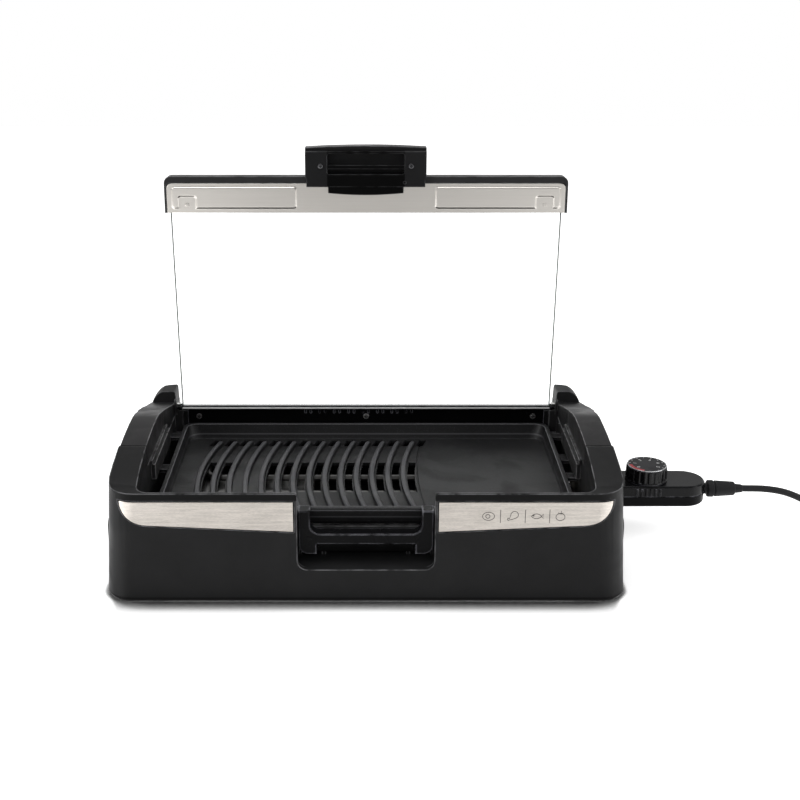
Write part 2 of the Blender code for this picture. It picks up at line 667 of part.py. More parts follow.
def rounded_rectangle(half_x, half_y, radius, steps=CORNER_STEPS):
    return rounded_box_outline((-half_x, -half_y), (half_x, half_y), radius, steps)


def turned(name, profile, centre, sides, surface=None, axis="Z", closed=False):
    """Turns (radius, place) pairs about a line through centre along the axis."""
    rings = []
    for radius, place in profile:
        if axis == "Z":
            rings.append(lift(circle(radius, sides, centre[:2]), "Z", centre[2] + place))
        elif axis == "X":
            rings.append(lift(circle(radius, sides, centre[1:]), "X", centre[0] + place))
        else:
            flat = circle(radius, sides, (centre[0], centre[2]))
            rings.append(lift(flat, "Y", centre[1] + place))
    return loft(name, rings, surface, closed)


def combine(target, other, operation):
    """Applies an exact Boolean to target and removes the other object."""
    modifier = target.modifiers.new("combine", "BOOLEAN")
    modifier.operation = operation
    modifier.solver = "EXACT"
    modifier.object = other
    graph = bpy.context.evaluated_depsgraph_get()
    mesh = bpy.data.meshes.new_from_object(target.evaluated_get(graph))
    target.modifiers.clear()
    old = target.data
    target.data = mesh
    mesh.name = target.name
    bpy.data.meshes.remove(old)
    bpy.data.objects.remove(other)
    return target


def cut(target, *cutters):
    for cutter in cutters:
        combine(target, cutter, "DIFFERENCE")
    return target


def join(target, *others):
    for other in others:
        combine(target, other, "UNION")
    return target


def keep_common(target, other):
    return combine(target, other, "INTERSECT")


def soften(obj, width, segments=2, angle=math.radians(40)):
    """Rounds the sharp edges of an object with a Bevel that stays on it."""
    bevel = obj.modifiers.new("edges", "BEVEL")
    bevel.width = width
    bevel.segments = segments
    bevel.limit_method = "ANGLE"
    bevel.angle_limit = angle
    bevel.use_clamp_overlap = True
    return obj


def smooth(obj, angle=math.radians(35)):
    obj.data.shade_smooth()
    obj.data.set_sharp_from_angle(angle=angle)
    return obj


def tube(name, points, radius, resolution, surface):
    """A round tube along points, as a curve with filled ends."""
    curve = bpy.data.curves.new(name, "CURVE")
    curve.dimensions = "3D"
    curve.bevel_depth = radius
    curve.bevel_resolution = resolution
    curve.use_fill_caps = True
    spline = curve.splines.new("POLY")
    spline.points.add(len(points) - 1)
    for place, point in zip(spline.points, points):
        place.co = (*point, 1.0)
    curve.materials.append(surface)
    obj = bpy.data.objects.new(name, curve)
    bpy.context.collection.objects.link(obj)
    return obj


# Shape of the casing


def base_half_size(height):
    """Half the casing's width and depth at a height; it widens towards the foot."""
    drop = (FRONT_HEIGHT - height) / (FRONT_HEIGHT - BASE_LIFT - BOTTOM_ROUND)
    return BASE_WIDTH / 2 + SIDE_FLARE * drop, BASE_DEPTH / 2 + FRONT_FLARE * drop


def base_ring(height, grow):
    half_x, half_y = base_half_size(height)
    outline = rounded_rectangle(half_x + grow, half_y + grow, BASE_CORNER_RADIUS + grow)
    return lift(outline, "Z", height)


def base_form(name, grow, low, high, surface=None):
    """The plain outer form of the casing between two heights, moved out by grow."""
    return loft(name, [base_ring(low, grow), base_ring(high, grow)], surface)


def base_solid(name, surface):
    """The casing's outer form with its rounded lower edge."""
    rings = []
    for i in range(4):
        turn = QUARTER_TURN * i / 3
        inset = BOTTOM_ROUND * (1 - math.sin(turn))
        height = BASE_LIFT + BOTTOM_ROUND * (1 - math.cos(turn))
        rings.append(base_ring(height, -inset))
    rings.append(base_ring(FRONT_HEIGHT + ARM_RISE + OVERRUN, 0.0))
    return loft(name, rings, surface)


def arm_height(y):
    """Height of the arms' upper side at a depth."""
    share = y / (BASE_DEPTH / 2)
    top = FRONT_HEIGHT + ARM_RISE
    known = [(s, FRONT_HEIGHT + ARM_RISE * h) for s, h in ARM_FRONT_SHARES]
    known += [(s, top - (top - REAR_HEIGHT) * h) for s, h in ARM_REAR_SHARES]
    for (s0, z0), (s1, z1) in zip(known, known[1:]):
        if s0 <= share <= s1:
            return z0 + (z1 - z0) * (share - s0) / (s1 - s0)
    return known[0][1] if share < known[0][0] else known[-1][1]


def arm_line(front, rear, lowered=0.0):
    """Points (y, z) along the arms' upper side between two depths."""
    half = BASE_DEPTH / 2
    inner = [s * half for s, _ in ARM_FRONT_SHARES + ARM_REAR_SHARES]
    places = [front] + [y for y in inner if front < y < rear] + [rear]
    return [(y, arm_height(y) - lowered) for y in places]


def arm_prism(name, front, rear, bottom, x_range, lowered=0.0):
    """A block below the arms' upper side, used to trim casing and covers."""
    outline = [(rear, bottom), (front, bottom)] + arm_line(front, rear, lowered)
    return prism(name, outline, "X", *sorted(x_range))


def side_range(side, inner, outer):
    return sorted((side * inner, side * outer))


WELL_HALF = WELL_WIDTH / 2
WELL_HALF_DEPTH = BASE_DEPTH / 2 - WALL
FAR_SIDE = BASE_WIDTH / 2 + SIDE_FLARE + OVERRUN
FAR_END = BASE_DEPTH / 2 + FRONT_FLARE + OVERRUN
FAR_TOP = FRONT_HEIGHT + ARM_RISE + OVERRUN
FLOOR_BOTTOM = WELL_FLOOR - FLOOR_THICKNESS
NOTCH_HALF = NOTCH_WIDTH / 2
PLATE_REAR = PLATE_FRONT + PLATE_DEPTH
RIM_BOTTOM = RIM_HEIGHT - RIM_THICKNESS
PAD_FACE = base_half_size((PAD_BOTTOM + PAD_TOP) / 2)[0] + PAD_PROUD
ORIGIN_X = (HOUSING_RIGHT - PAD_FACE) / 2


def trim_side_profile():
    """The casing from the side: low front wall, seats for the arm covers, low rear."""
    outline = [(FAR_END, -OVERRUN), (-FAR_END, -OVERRUN), (-FAR_END, FRONT_HEIGHT)]
    outline += arm_line(-BASE_DEPTH / 2, SEAM_FRONT)
    outline += [(SEAM_FRONT, HANDLE_SEAT), (SEAM_REAR, HANDLE_SEAT)]
    outline += [(SEAM_REAR, REAR_HEIGHT), (FAR_END, REAR_HEIGHT)]
    return prism("cutter", outline, "X", -FAR_SIDE, FAR_SIDE)


def well_cutters():
    """The well that holds plate and tray, and the chamber behind its bulkhead."""
    low, high = (-WELL_HALF, -WELL_HALF_DEPTH), (WELL_HALF, BULKHEAD_Y)
    front = rounded_box_outline(low, high, WELL_CORNER_RADIUS)
    arc = CORNER_STEPS + 1
    front = front[:arc] + [(WELL_HALF, BULKHEAD_Y), (-WELL_HALF, BULKHEAD_Y)] + front[-arc:]
    chamber_y = (BULKHEAD_Y + LINER_WALL, WELL_HALF_DEPTH)
    above_y = (BULKHEAD_Y - OVERRUN, WELL_HALF_DEPTH)
    x_range = (-WELL_HALF, WELL_HALF)
    return (
        prism("cutter", front, "Z", WELL_FLOOR, FAR_TOP),
        box("cutter", x_range, chamber_y, (FLOOR_BOTTOM - OVERRUN, FAR_TOP)),
        box("cutter", x_range, above_y, (BULKHEAD_TOP, FAR_TOP)),
    )


def hollow_cutter():
    """The space under the well and inside both arms, open below, round the finger recesses."""
    step_front = SEAM_FRONT - COVER_WALL
    step_rear = SEAM_REAR - COVER_WALL
    low, roof = BASE_LIFT - OVERRUN, CAP_SEAT - COVER_WALL
    outline = [(FAR_END, low), (-FAR_END, low), (-FAR_END, FRONT_HEIGHT - WALL)]
    outline += arm_line(-BASE_DEPTH / 2, step_front, WALL)
    outline += [(step_front, HANDLE_SEAT - COVER_WALL), (step_rear, HANDLE_SEAT - COVER_WALL)]
    outline += [(step_rear, roof), (FAR_END, roof)]
    hollow = prism("cutter", outline, "X", -FAR_SIDE, FAR_SIDE)
    keep_common(hollow, base_form("cutter", -WALL, low - OVERRUN, FAR_TOP))
    half = WELL_HALF + LINER_WALL
    cut(hollow, box("core", (-half, half), (-FAR_END, FAR_END), (FLOOR_BOTTOM, FAR_TOP)))
    for _, side in SIDES:
        cut(hollow, recess_block(side, COVER_WALL, FAR_TOP))
    return hollow


def recess_block(side, grow, top):
    """The finger recess under one arm cover, moved out by grow."""
    low = (RECESS_FRONT - grow, RECESS_BOTTOM - grow)
    high = (RECESS_REAR + grow, top + OVERRUN)
    outline = rounded_box_outline(low, high, PAD_CHAMFER + grow, 3)
    x_range = side_range(side, WELL_HALF + LINER_WALL - grow / 2, FAR_SIDE)
    return prism("cutter", outline, "X", *x_range)


def cap_seat_cutter(side):
    x_range = side_range(side, WELL_HALF - SINK, FAR_SIDE)
    return box("cutter", x_range, (SEAM_REAR, FAR_END), (CAP_SEAT, FAR_TOP))


def notch_cutter():
    low = (-NOTCH_HALF, WELL_FLOOR)
    high = (NOTCH_HALF, FAR_TOP)
    outline = rounded_box_outline(low, high, NOTCH_ROUND)
    return prism("cutter", outline, "Y", -FAR_END, -WELL_HALF_DEPTH + SINK)


def side_pad(side):
    """The raised pad low on one side wall."""
    half = PAD_LENGTH / 2
    low, high = (-half, PAD_BOTTOM), (half, PAD_TOP)
    edge = rounded_box_outline(low, high, PAD_ROUND, 5)
    low = (-half + PAD_CHAMFER, PAD_BOTTOM + PAD_CHAMFER)
    high = (half - PAD_CHAMFER, PAD_TOP - PAD_CHAMFER)
    face = rounded_box_outline(low, high, PAD_ROUND - PAD_CHAMFER, 5)
    root = base_half_size(PAD_TOP)[0] - PAD_ROOT
    shoulder = PAD_FACE - PAD_CHAMFER
    rings = [
        lift(edge, "X", side * root),
        lift(edge, "X", side * shoulder),
        lift(face, "X", side * PAD_FACE),
    ]
    return loft("pad", rings)


def port_cutters():
    """The thermostat's port in the right wall and the opening behind it in the liner."""
    half_y = HOUSING_WIDTH / 2 + PORT_GAP
    half_z = HOUSING_HEIGHT / 2 + PORT_GAP
    low = (THERMOSTAT_Y - half_y, THERMOSTAT_HEIGHT - half_z)
    high = (THERMOSTAT_Y + half_y, THERMOSTAT_HEIGHT + half_z)
    port = rounded_box_outline(low, high, HOUSING_ROUND, 3)
    half_y, half_z = LINER_PORT_WIDTH / 2, LINER_PORT_HEIGHT / 2
    low = (THERMOSTAT_Y - half_y, THERMOSTAT_HEIGHT - half_z)
    high = (THERMOSTAT_Y + half_y, THERMOSTAT_HEIGHT + half_z)
    inner = rounded_box_outline(low, high, HOUSING_ROUND, 3)
    return (
        prism("cutter", port, "X", WELL_HALF + OVERRUN, FAR_SIDE),
        prism("cutter", inner, "X", WELL_HALF - OVERRUN, WELL_HALF + OVERRUN),
    )


def tab_places(side):
    """Middle and length of each support tab along one arm."""
    if side < 0:
        known = ((TAB_REAR_SHARE, TAB_LENGTH), (TAB_MIDDLE_LEFT_SHARE, TAB_LENGTH))
    else:
        known = (
            (TAB_REAR_SHARE, TAB_LENGTH),
            (TAB_MIDDLE_RIGHT_SHARE, TAB_LENGTH_WIDE),
            (TAB_FRONT_RIGHT_SHARE, TAB_LENGTH),
        )
    return [(PLATE_FRONT + PLATE_DEPTH * share, length) for share, length in known]


def reflector_height(x):
    """Height of the reflector's underside at a place across the grill."""
    half, slot = REFLECTOR_WIDTH / 2, REFLECTOR_SLOT_WIDTH / 2
    rise = (REFLECTOR_EDGE_HEIGHT - REFLECTOR_SLOT_HEIGHT) * (x - slot) / (half - slot)
    return REFLECTOR_SLOT_HEIGHT + rise - REFLECTOR_SHEET


def inner_fittings(side):
    """Tabs under the plate's rim, hinge shelf, tray guide, skid, cheek and posts."""
    made = []
    top = RIM_BOTTOM - TAB_TOP_GAP
    inner = PLATE_WIDTH / 2 - RIM_OVERHANG + CLEARANCE
    into_wall = WELL_HALF + SINK
    for middle, length in tab_places(side):
        y_range = (middle - length / 2, middle + length / 2)
        z_range = (top - TAB_HEIGHT, top)
        made.append(box("tab", side_range(side, inner, into_wall), y_range, z_range))
    shelf_top = BRACKET_BOTTOM - CLEARANCE
    made.append(
        box(
            "shelf",
            side_range(side, BRACKET_INNER, into_wall),
            (BRACKET_FRONT, BULKHEAD_Y + SINK),
            (shelf_top - SHELF_HEIGHT, shelf_top),
        )
    )
    floor_root = WELL_FLOOR - SINK
    guide_inner = TRAY_WIDTH / 2 + 3 * CLEARANCE
    run = (TRAY_FRONT + TRAY_FRONT_WALL, TRAY_REAR + LINER_WALL)
    guide = (floor_root, WELL_FLOOR + GUIDE_HEIGHT)
    made.append(box("guide", side_range(side, guide_inner, NOTCH_HALF), run, guide))
    skid = side_range(
        side, SKID_SPACING / 2 - SKID_WIDTH / 2, SKID_SPACING / 2 + SKID_WIDTH / 2
    )
    made.append(box("skid", skid, run, (floor_root, WELL_FLOOR + SKID_HEIGHT)))
    cheek = side_range(side, NOTCH_HALF + CLEARANCE, NOTCH_HALF + LINER_WALL)
    cheek_run = (-WELL_HALF_DEPTH - SINK, -WELL_HALF_DEPTH + CHEEK_DEPTH)
    made.append(box("cheek", cheek, cheek_run, (floor_root, CHEEK_TOP)))
    for y in (POST_FRONT, POST_REAR):
        place = (side * POST_SPACING_X / 2, y, floor_root)
        height = reflector_height(POST_SPACING_X / 2 - POST_RADIUS) - CLEARANCE - floor_root
        made.append(turned("post", [(POST_RADIUS, 0.0), (POST_RADIUS, height)], place, 12))
    return made


def foot_places(side):
    x = side * (BASE_WIDTH / 2 - FOOT_INSET_X)
    half = BASE_DEPTH / 2 - FOOT_INSET_Y
    return (x, -half), (x, half)


def foot_bosses(side):
    made = []
    height = WELL_FLOOR - SINK - BASE_LIFT
    radius = FOOT_RADIUS + LINER_WALL / 2
    for x, y in foot_places(side):
        made.append(turned("boss", [(radius, 0.0), (radius, height)], (x, y, BASE_LIFT), 16))
    return made


def trim_outline(side, grow=0.0):
    """A trim plate from the front: straight top, sloping foot, round outer end."""
    outline = [
        (TRIM_INNER - grow, TRIM_TOP + grow),
        (TRIM_INNER - grow, TRIM_TOP - TRIM_DROP_INNER - grow),
    ]
    middle = TRIM_OUTER - TRIM_CORNER_WIDTH
    for i in range(CURVE_STEPS + 1):
        turn = QUARTER_TURN * i / CURVE_STEPS
        x = middle + (TRIM_CORNER_WIDTH + grow) * math.sin(turn)
        z = TRIM_TOP - (TRIM_DROP_OUTER + grow) * math.cos(turn)
        outline.append((x, z))
    outline.append((TRIM_OUTER + grow, TRIM_TOP + grow))
    return [(side * x, z) for x, z in outline]


def trim_body(name, side, inner, outer, grow, surface=None):
    """The part of the casing's skin between two depths that a trim plate covers."""
    low = TRIM_TOP - TRIM_DROP_INNER - OVERRUN
    high = TRIM_TOP + OVERRUN
    body = base_form(name, outer, low, high, surface)
    cut(body, base_form("cutter", inner, low - OVERRUN, high + OVERRUN))
    outline = trim_outline(side, grow)
    return keep_common(body, prism("cutter", outline, "Y", -FAR_END, -BASE_DEPTH / 3))


def panel_screw_places():
    z = PANEL_SCREW_HEIGHT
    return [(x, BULKHEAD_Y, z) for x in (-PANEL_SCREW_SPACING, 0.0, PANEL_SCREW_SPACING)]


def make_base_shell(surface):
    shell = base_solid("base_shell", surface)
    keep_common(shell, trim_side_profile())
    cut(shell, hollow_cutter(), *well_cutters())
    for _, side in SIDES:
        cut(shell, recess_block(side, 0.0, FAR_TOP), cap_seat_cutter(side))
    cut(shell, notch_cutter())
    for _, side in SIDES:
        join(shell, side_pad(side), *inner_fittings(side), *foot_bosses(side))
        depth = TRIM_THICKNESS + CLEARANCE - TRIM_PROUD
        cut(shell, trim_body("cutter", side, -depth, OVERRUN / 2, CLEARANCE))
    ledge_x = (-PANEL_WIDTH / 2 + OVERRUN, PANEL_WIDTH / 2 - OVERRUN)
    ledge_y = (WELL_HALF_DEPTH - LINER_WALL, WELL_HALF_DEPTH + SINK)
    ledge_top = PANEL_DECK - PANEL_THICKNESS - CLEARANCE
    join(shell, box("ledge", ledge_x, ledge_y, (ledge_top - LINER_WALL, ledge_top)))
    cut(shell, *port_cutters())
    bore = PANEL_SCREW_SHANK + BORE_GAP
    reach = LINER_WALL + OVERRUN
    for place in panel_screw_places():
        cut(shell, turned("cutter", [(bore, -reach), (bore, reach)], place, 12, axis="Y"))
    return smooth(shell)


# Covers and trims of the casing


def make_handle_cover(name, side, surface):
    """The arched cover over one finger recess, open below."""
    front, rear = SEAM_FRONT + CLEARANCE, SEAM_REAR - CLEARANCE
    bottom = HANDLE_SEAT + CLEARANCE
    cover = base_form(name, -HANDLE_INSET, bottom, FAR_TOP, surface)
    outer = side_range(side, WELL_HALF, FAR_SIDE)
    keep_common(cover, arm_prism("cutter", front, rear, bottom - SINK, outer))
    inner = base_form("cutter", -HANDLE_INSET - COVER_WALL, bottom - OVERRUN, FAR_TOP)
    x_range = side_range(side, WELL_HALF + COVER_WALL, FAR_SIDE)
    low, high = front + COVER_WALL, rear - COVER_WALL
    keep_common(inner, arm_prism("cutter", low, high, bottom - OVERRUN / 2, x_range, COVER_WALL))
    return smooth(cut(cover, inner))


def ear_outline(side):
    """An ear from the front: a round outer flank, a flat top and a steep inner edge."""
    crown_x = EAR_CROWN + EAR_ROUND
    flank = []
    for i in range(CORNER_STEPS + 1):
        turn = QUARTER_TURN * i / CORNER_STEPS
        x = crown_x + (EAR_OUTER - crown_x) * math.cos(turn) ** 1.5
        z = EAR_BOTTOM + (EAR_TOP - EAR_ROUND / 2 - EAR_BOTTOM) * math.sin(turn)
        flank.append((x, z))
    inner = WELL_HALF + COVER_WALL / 5
    outline = flank + [(EAR_CROWN, EAR_TOP), (inner + EAR_ROUND, EAR_TOP)]
    outline += [(inner + EAR_ROUND / 3, EAR_TOP - EAR_ROUND), (inner, EAR_BOTTOM)]
    return [(side * x, z) for x, z in outline]


def make_rear_cap(name, side, surface):
    """The rear cover of one arm with its ear, open below."""
    front, rear = SEAM_REAR + CLEARANCE, FAR_END
    bottom = CAP_SEAT + CLEARANCE
    cap = base_form(name, 0.0, bottom, FAR_TOP, surface)
    x_range = side_range(side, WELL_HALF + CLEARANCE, FAR_SIDE)
    shape = arm_prism("cutter", front, rear, bottom - SINK, x_range)
    join(shape, prism("ear", ear_outline(side), "Y", EAR_FRONT, FAR_END + SINK))
    keep_common(cap, shape)
    inner = base_form("cutter", -COVER_WALL, bottom - OVERRUN, FAR_TOP)
    x_range = side_range(side, WELL_HALF + CLEARANCE + COVER_WALL, FAR_SIDE)
    low = front + COVER_WALL
    block = arm_prism("cutter", low, rear, bottom - OVERRUN / 2, x_range, COVER_WALL)
    return smooth(cut(cap, keep_common(inner, block)))


def make_guard(name, side, surface):
    """The two-stepped ledge inside one arm that the closed lid lies between."""
    wall = WELL_HALF - CLEARANCE
    upper, lower = wall - GUARD_UPPER_WIDTH, wall - GUARD_LOWER_WIDTH
    outline = [
        (wall, GUARD_BOTTOM),
        (wall, GUARD_TOP),
        (upper, GUARD_TOP),
        (upper, GUARD_TOP - GUARD_STEP),
        (lower, GUARD_TOP - GUARD_STEP),
        (lower, GUARD_BOTTOM),
    ]
    outline = [(side * x, z) for x, z in outline]
    return prism(name, outline, "Y", GUARD_FRONT, GUARD_REAR, surface)


def make_trim(name, side, surface):
    inner = TRIM_PROUD - TRIM_THICKNESS
    return smooth(trim_body(name, side, inner, TRIM_PROUD, 0.0, surface))


def make_foot(name, place, surface):
    height = BASE_LIFT - CLEARANCE
    edge = height / 4
    profile = [(FOOT_RADIUS - edge, 0.0), (FOOT_RADIUS, edge), (FOOT_RADIUS, height)]
    return smooth(turned(name, profile, (*place, 0.0), 20, surface))


# Grill plate


def rib_x(y, back_x):
    """Place across the plate of a rib's middle line at a depth; it bows to the left."""
    share = (RIB_BACK - y) / (RIB_BACK - RIB_FRONT)
    return back_x - RIB_DRIFT * share - 4 * RIB_SAG * share * (1 - share)


def rib_back_x(number):
    return RIB_LAST_X - (RIB_COUNT - 1 - number) * RIB_PITCH


def steps(start, end, count):
    return [start + (end - start) * i / count for i in range(count + 1)]


def make_rib(number, surface):
    """One rib: a tapered bar along a curve whose ends slope down to the floor."""
    rings = []
    back_x = rib_back_x(number)
    root = PLATE_FLOOR - SINK
    low_end = PLATE_FLOOR + RIB_HEIGHT / 6
    top = PLATE_FLOOR + RIB_HEIGHT
    places = [RIB_BACK] + steps(RIB_BACK - RIB_END, RIB_FRONT + RIB_END, RIB_STEPS) + [RIB_FRONT]
    for y in places:
        x = rib_x(y, back_x)
        height = low_end if y in (RIB_BACK, RIB_FRONT) else top
        half, crown = RIB_BASE_WIDTH / 2, RIB_TOP_WIDTH / 2
        edge = (height - PLATE_FLOOR) / 5
        outline = [
            (x - half, root),
            (x - crown - edge / 2, height - edge),
            (x - crown + edge, height),
            (x + crown - edge, height),
            (x + crown + edge / 2, height - edge),
            (x + half, root),
        ]
        rings.append(lift(outline, "Y", y))
    return loft("rib", rings, surface)


def curved_slot(places, middle, width, low, high):
    """A cutter of even width that follows a curve x = middle(y)."""
    rings = []
    for y in places:
        x = middle(y)
        outline = [(x - width / 2, low), (x + width / 2, low), (x + width / 2, high)]
        rings.append(lift(outline + [(x - width / 2, high)], "Y", y))
    return loft("cutter", rings)


def window_cutters():
    """The long windows between the ribs and the short ones at their rear ends."""
    made = []
    low, high = PLATE_FLOOR - PLATE_SKIN - OVERRUN, PLATE_FLOOR + RIB_HEIGHT / 2
    rows = (
        (WINDOW_FRONT, WINDOW_REAR, 1, CLOSED_GAPS),
        (SMALL_WINDOW_FRONT, SMALL_WINDOW_REAR, 0, ()),
    )
    for front, rear, first, closed in rows:
        for gap in range(first, RIB_COUNT + 1):
            if gap in closed:
                continue
            back_x = rib_back_x(gap) - RIB_PITCH / 2

            def middle(y, back_x=back_x):
                return rib_x(y, back_x)

            places = steps(front, rear, WINDOW_STEPS)
            made.append(curved_slot(places, middle, WINDOW_WIDTH, low, high))
    return made


def groove_x(y):
    """The groove that parts the ribbed side from the flat side; it bows to the left."""
    middle = (GROOVE_FRONT + GROOVE_REAR) / 2
    share = (y - middle) / (GROOVE_REAR - middle)
    return GROOVE_X - GROOVE_BOW * (1 - share * share)


def plate_ring(height, inset_side, inset_front, radius):
    """A level outline of the plate, inset from its rim's outer edge."""
    half = PLATE_WIDTH / 2 - inset_side
    low = (-half, PLATE_FRONT + inset_front)
    high = (half, PLATE_REAR - inset_front)
    return lift(rounded_box_outline(low, high, radius), "Z", height)


def make_grill_plate(surface):
    """The cast plate: a rimmed pan with bowed ribs, windows between them and a groove."""
    bottom = PLATE_FLOOR - PLATE_SKIN
    wall = RIM_OVERHANG + PLATE_WALL
    outer = [
        plate_ring(bottom, wall + SIDE_SLOPE - PLATE_WALL / 2, wall + FRONT_SLOPE, POCKET_RADIUS),
        plate_ring(bottom + PLATE_SKIN, wall + SIDE_SLOPE - PLATE_WALL, wall, POCKET_RADIUS),
        plate_ring(RIM_BOTTOM, RIM_OVERHANG, RIM_OVERHANG, RIM_RADIUS),
        plate_ring(RIM_BOTTOM, 0.0, 0.0, RIM_RADIUS),
        plate_ring(RIM_HEIGHT - RIM_THICKNESS / 3, 0.0, 0.0, RIM_RADIUS),
        plate_ring(RIM_HEIGHT, RIM_THICKNESS / 3, RIM_THICKNESS / 3, RIM_RADIUS),
    ]
    plate = loft("grill_plate", outer, surface)
    pocket = [
        plate_ring(PLATE_FLOOR, wall + SIDE_SLOPE + SINK, wall + FRONT_SLOPE + SINK, POCKET_RADIUS),
        plate_ring(PLATE_FLOOR + SINK, wall + SIDE_SLOPE, wall + FRONT_SLOPE, POCKET_RADIUS),
        plate_ring(RIM_HEIGHT, wall, wall, RIM_RADIUS),
        plate_ring(RIM_HEIGHT + OVERRUN, wall, wall, RIM_RADIUS),
    ]
    cut(plate, loft("cutter", pocket))
    for number in range(RIB_COUNT):
        join(plate, make_rib(number, surface))
    cut(plate, *window_cutters())
    places = steps(GROOVE_FRONT, GROOVE_REAR, RIB_STEPS)
    low, high = PLATE_FLOOR - GROOVE_DEPTH, PLATE_FLOOR + OVERRUN
    cut(plate, curved_slot(places, groove_x, GROOVE_WIDTH, low, high))
    return smooth(plate)


# Heating element, terminals and reflector


def rounded_path(corners, radius, count=4):
    """A path through corners in which each bend is an arc made of count steps."""
    path = [Vector(corners[0])]
    for before, corner, after in zip(corners, corners[1:], corners[2:]):
        before, corner, after = Vector(before), Vector(corner), Vector(after)
        back, ahead = (before - corner), (after - corner)
        reach = min(radius, 0.49 * back.length, 0.49 * ahead.length)
        start, end = corner + back.normalized() * reach, corner + ahead.normalized() * reach
        for i in range(count + 1):
            share = i / count
            path.append(start.lerp(corner, share).lerp(corner.lerp(end, share), share))
    path.append(Vector(corners[-1]))
    return path


def make_element(surface):
    """The sheathed heating rod: four runs under the plate, both ends at the terminals."""
    z = ELEMENT_HEIGHT
    left, right, inner = ELEMENT_LEFT, ELEMENT_RIGHT, ELEMENT_INNER_RIGHT
    lead = TERMINAL_SPACING / 2
    end = TERMINAL_BLOCK_LEFT - CLEARANCE
    low = THERMOSTAT_HEIGHT
    drop = end - 3 * ELEMENT_RADIUS
    y_rear, y_front = THERMOSTAT_Y + lead, THERMOSTAT_Y - lead
    corners = [
        (end, y_rear, low),
        (drop, y_rear, low),
        (drop - 2 * ELEMENT_RADIUS, y_rear, z),
        (right, y_rear, z),
        (right, ELEMENT_RUN_REAR, z),
        (left, ELEMENT_RUN_REAR, z),
        (left, ELEMENT_RUN_MIDDLE, z),
        (inner, ELEMENT_RUN_MIDDLE, z),
        (inner, ELEMENT_RUN_INNER, z),
        (left, ELEMENT_RUN_INNER, z),
        (left, ELEMENT_RUN_FRONT, z),
        (right, ELEMENT_RUN_FRONT, z),
        (right, y_front, z),
        (drop - 2 * ELEMENT_RADIUS, y_front, z),
        (drop, y_front, low),
        (end, y_front, low),
    ]
    return tube("heating_element", rounded_path(corners, ELEMENT_BEND), ELEMENT_RADIUS, 1, surface)


def terminal_places():
    lead = TERMINAL_SPACING / 2
    return (("rear", THERMOSTAT_Y + lead), ("front", THERMOSTAT_Y - lead))


def make_terminal_block(surface):
    half_y, half_z = TERMINAL_BLOCK_WIDTH / 2, TERMINAL_BLOCK_HEIGHT / 2
    low = (THERMOSTAT_Y - half_y, THERMOSTAT_HEIGHT - half_z)
    high = (THERMOSTAT_Y + half_y, THERMOSTAT_HEIGHT + half_z)
    outline = rounded_box_outline(low, high, TERMINAL_PIN_RADIUS, 2)
    block = prism("terminal_block", outline, "X", TERMINAL_BLOCK_LEFT, TERMINAL_BLOCK_RIGHT, surface)
    start, end = TERMINAL_BLOCK_LEFT - OVERRUN, TERMINAL_BLOCK_RIGHT + OVERRUN
    bores = [(THERMOSTAT_Y, PROBE_RADIUS + 2 * BORE_GAP)]
    bores += [(y, TERMINAL_PIN_RADIUS + BORE_GAP) for _, y in terminal_places()]
    for y, radius in bores:
        profile = [(radius, start), (radius, end)]
        cut(block, turned("cutter", profile, (0.0, y, THERMOSTAT_HEIGHT), 12, axis="X"))
    return block


def make_terminal_pin(name, y, surface):
    start, end = TERMINAL_BLOCK_LEFT + CLEARANCE, TERMINAL_PIN_END
    tip = TERMINAL_PIN_RADIUS / 2
    profile = [(TERMINAL_PIN_RADIUS, start), (TERMINAL_PIN_RADIUS, end - tip), (tip, end)]
    return smooth(turned(name, profile, (0.0, y, THERMOSTAT_HEIGHT), 12, surface, axis="X"))


def make_reflector(surface):
    """The folded sheet under the element that leads fat to the slot over the tray."""
    half, slot = REFLECTOR_WIDTH / 2, REFLECTOR_SLOT_WIDTH / 2
    upper = [(-half, REFLECTOR_EDGE_HEIGHT), (-slot, REFLECTOR_SLOT_HEIGHT)]
    upper += [(slot, REFLECTOR_SLOT_HEIGHT), (half, REFLECTOR_EDGE_HEIGHT)]
    lower = [(x, z - REFLECTOR_SHEET) for x, z in reversed(upper)]
    sheet = prism("reflector", upper + lower, "Y", REFLECTOR_FRONT, REFLECTOR_REAR, surface)
    inner = slot - 2 * SINK
    low = REFLECTOR_SLOT_HEIGHT - OVERRUN
    z_range = (low, REFLECTOR_EDGE_HEIGHT + OVERRUN)
    y_range = (REFLECTOR_SLOT_FRONT, REFLECTOR_SLOT_REAR)
    return cut(sheet, box("cutter", (-inner, inner), y_range, z_range))


# Drip tray


def make_tray(surface):
    """The shallow pan with its raised front wall."""
    half = TRAY_WIDTH / 2
    low, high = (-half, TRAY_FRONT), (half, TRAY_REAR)
    outline = rounded_box_outline(low, high, TRAY_CORNER_RADIUS, 4)
    tray = prism("drip_tray", outline, "Z", TRAY_BOTTOM, TRAY_BOTTOM + TRAY_HEIGHT, surface)
    wall_z = (TRAY_BOTTOM, TRAY_FRONT_TOP)
    join(tray, box("wall", (-half, half), (TRAY_FRONT, TRAY_FRONT + TRAY_FRONT_WALL), wall_z))
    low = (-half + TRAY_WALL, TRAY_FRONT + TRAY_FRONT_WALL)
    high = (half - TRAY_WALL, TRAY_REAR - TRAY_WALL)
    radius = TRAY_CORNER_RADIUS - TRAY_WALL
    inner = rounded_box_outline(low, high, radius, 4)
    z_range = (TRAY_BOTTOM + TRAY_WALL, TRAY_FRONT_TOP + OVERRUN)
    return smooth(cut(tray, prism("cutter", inner, "Z", *z_range)))


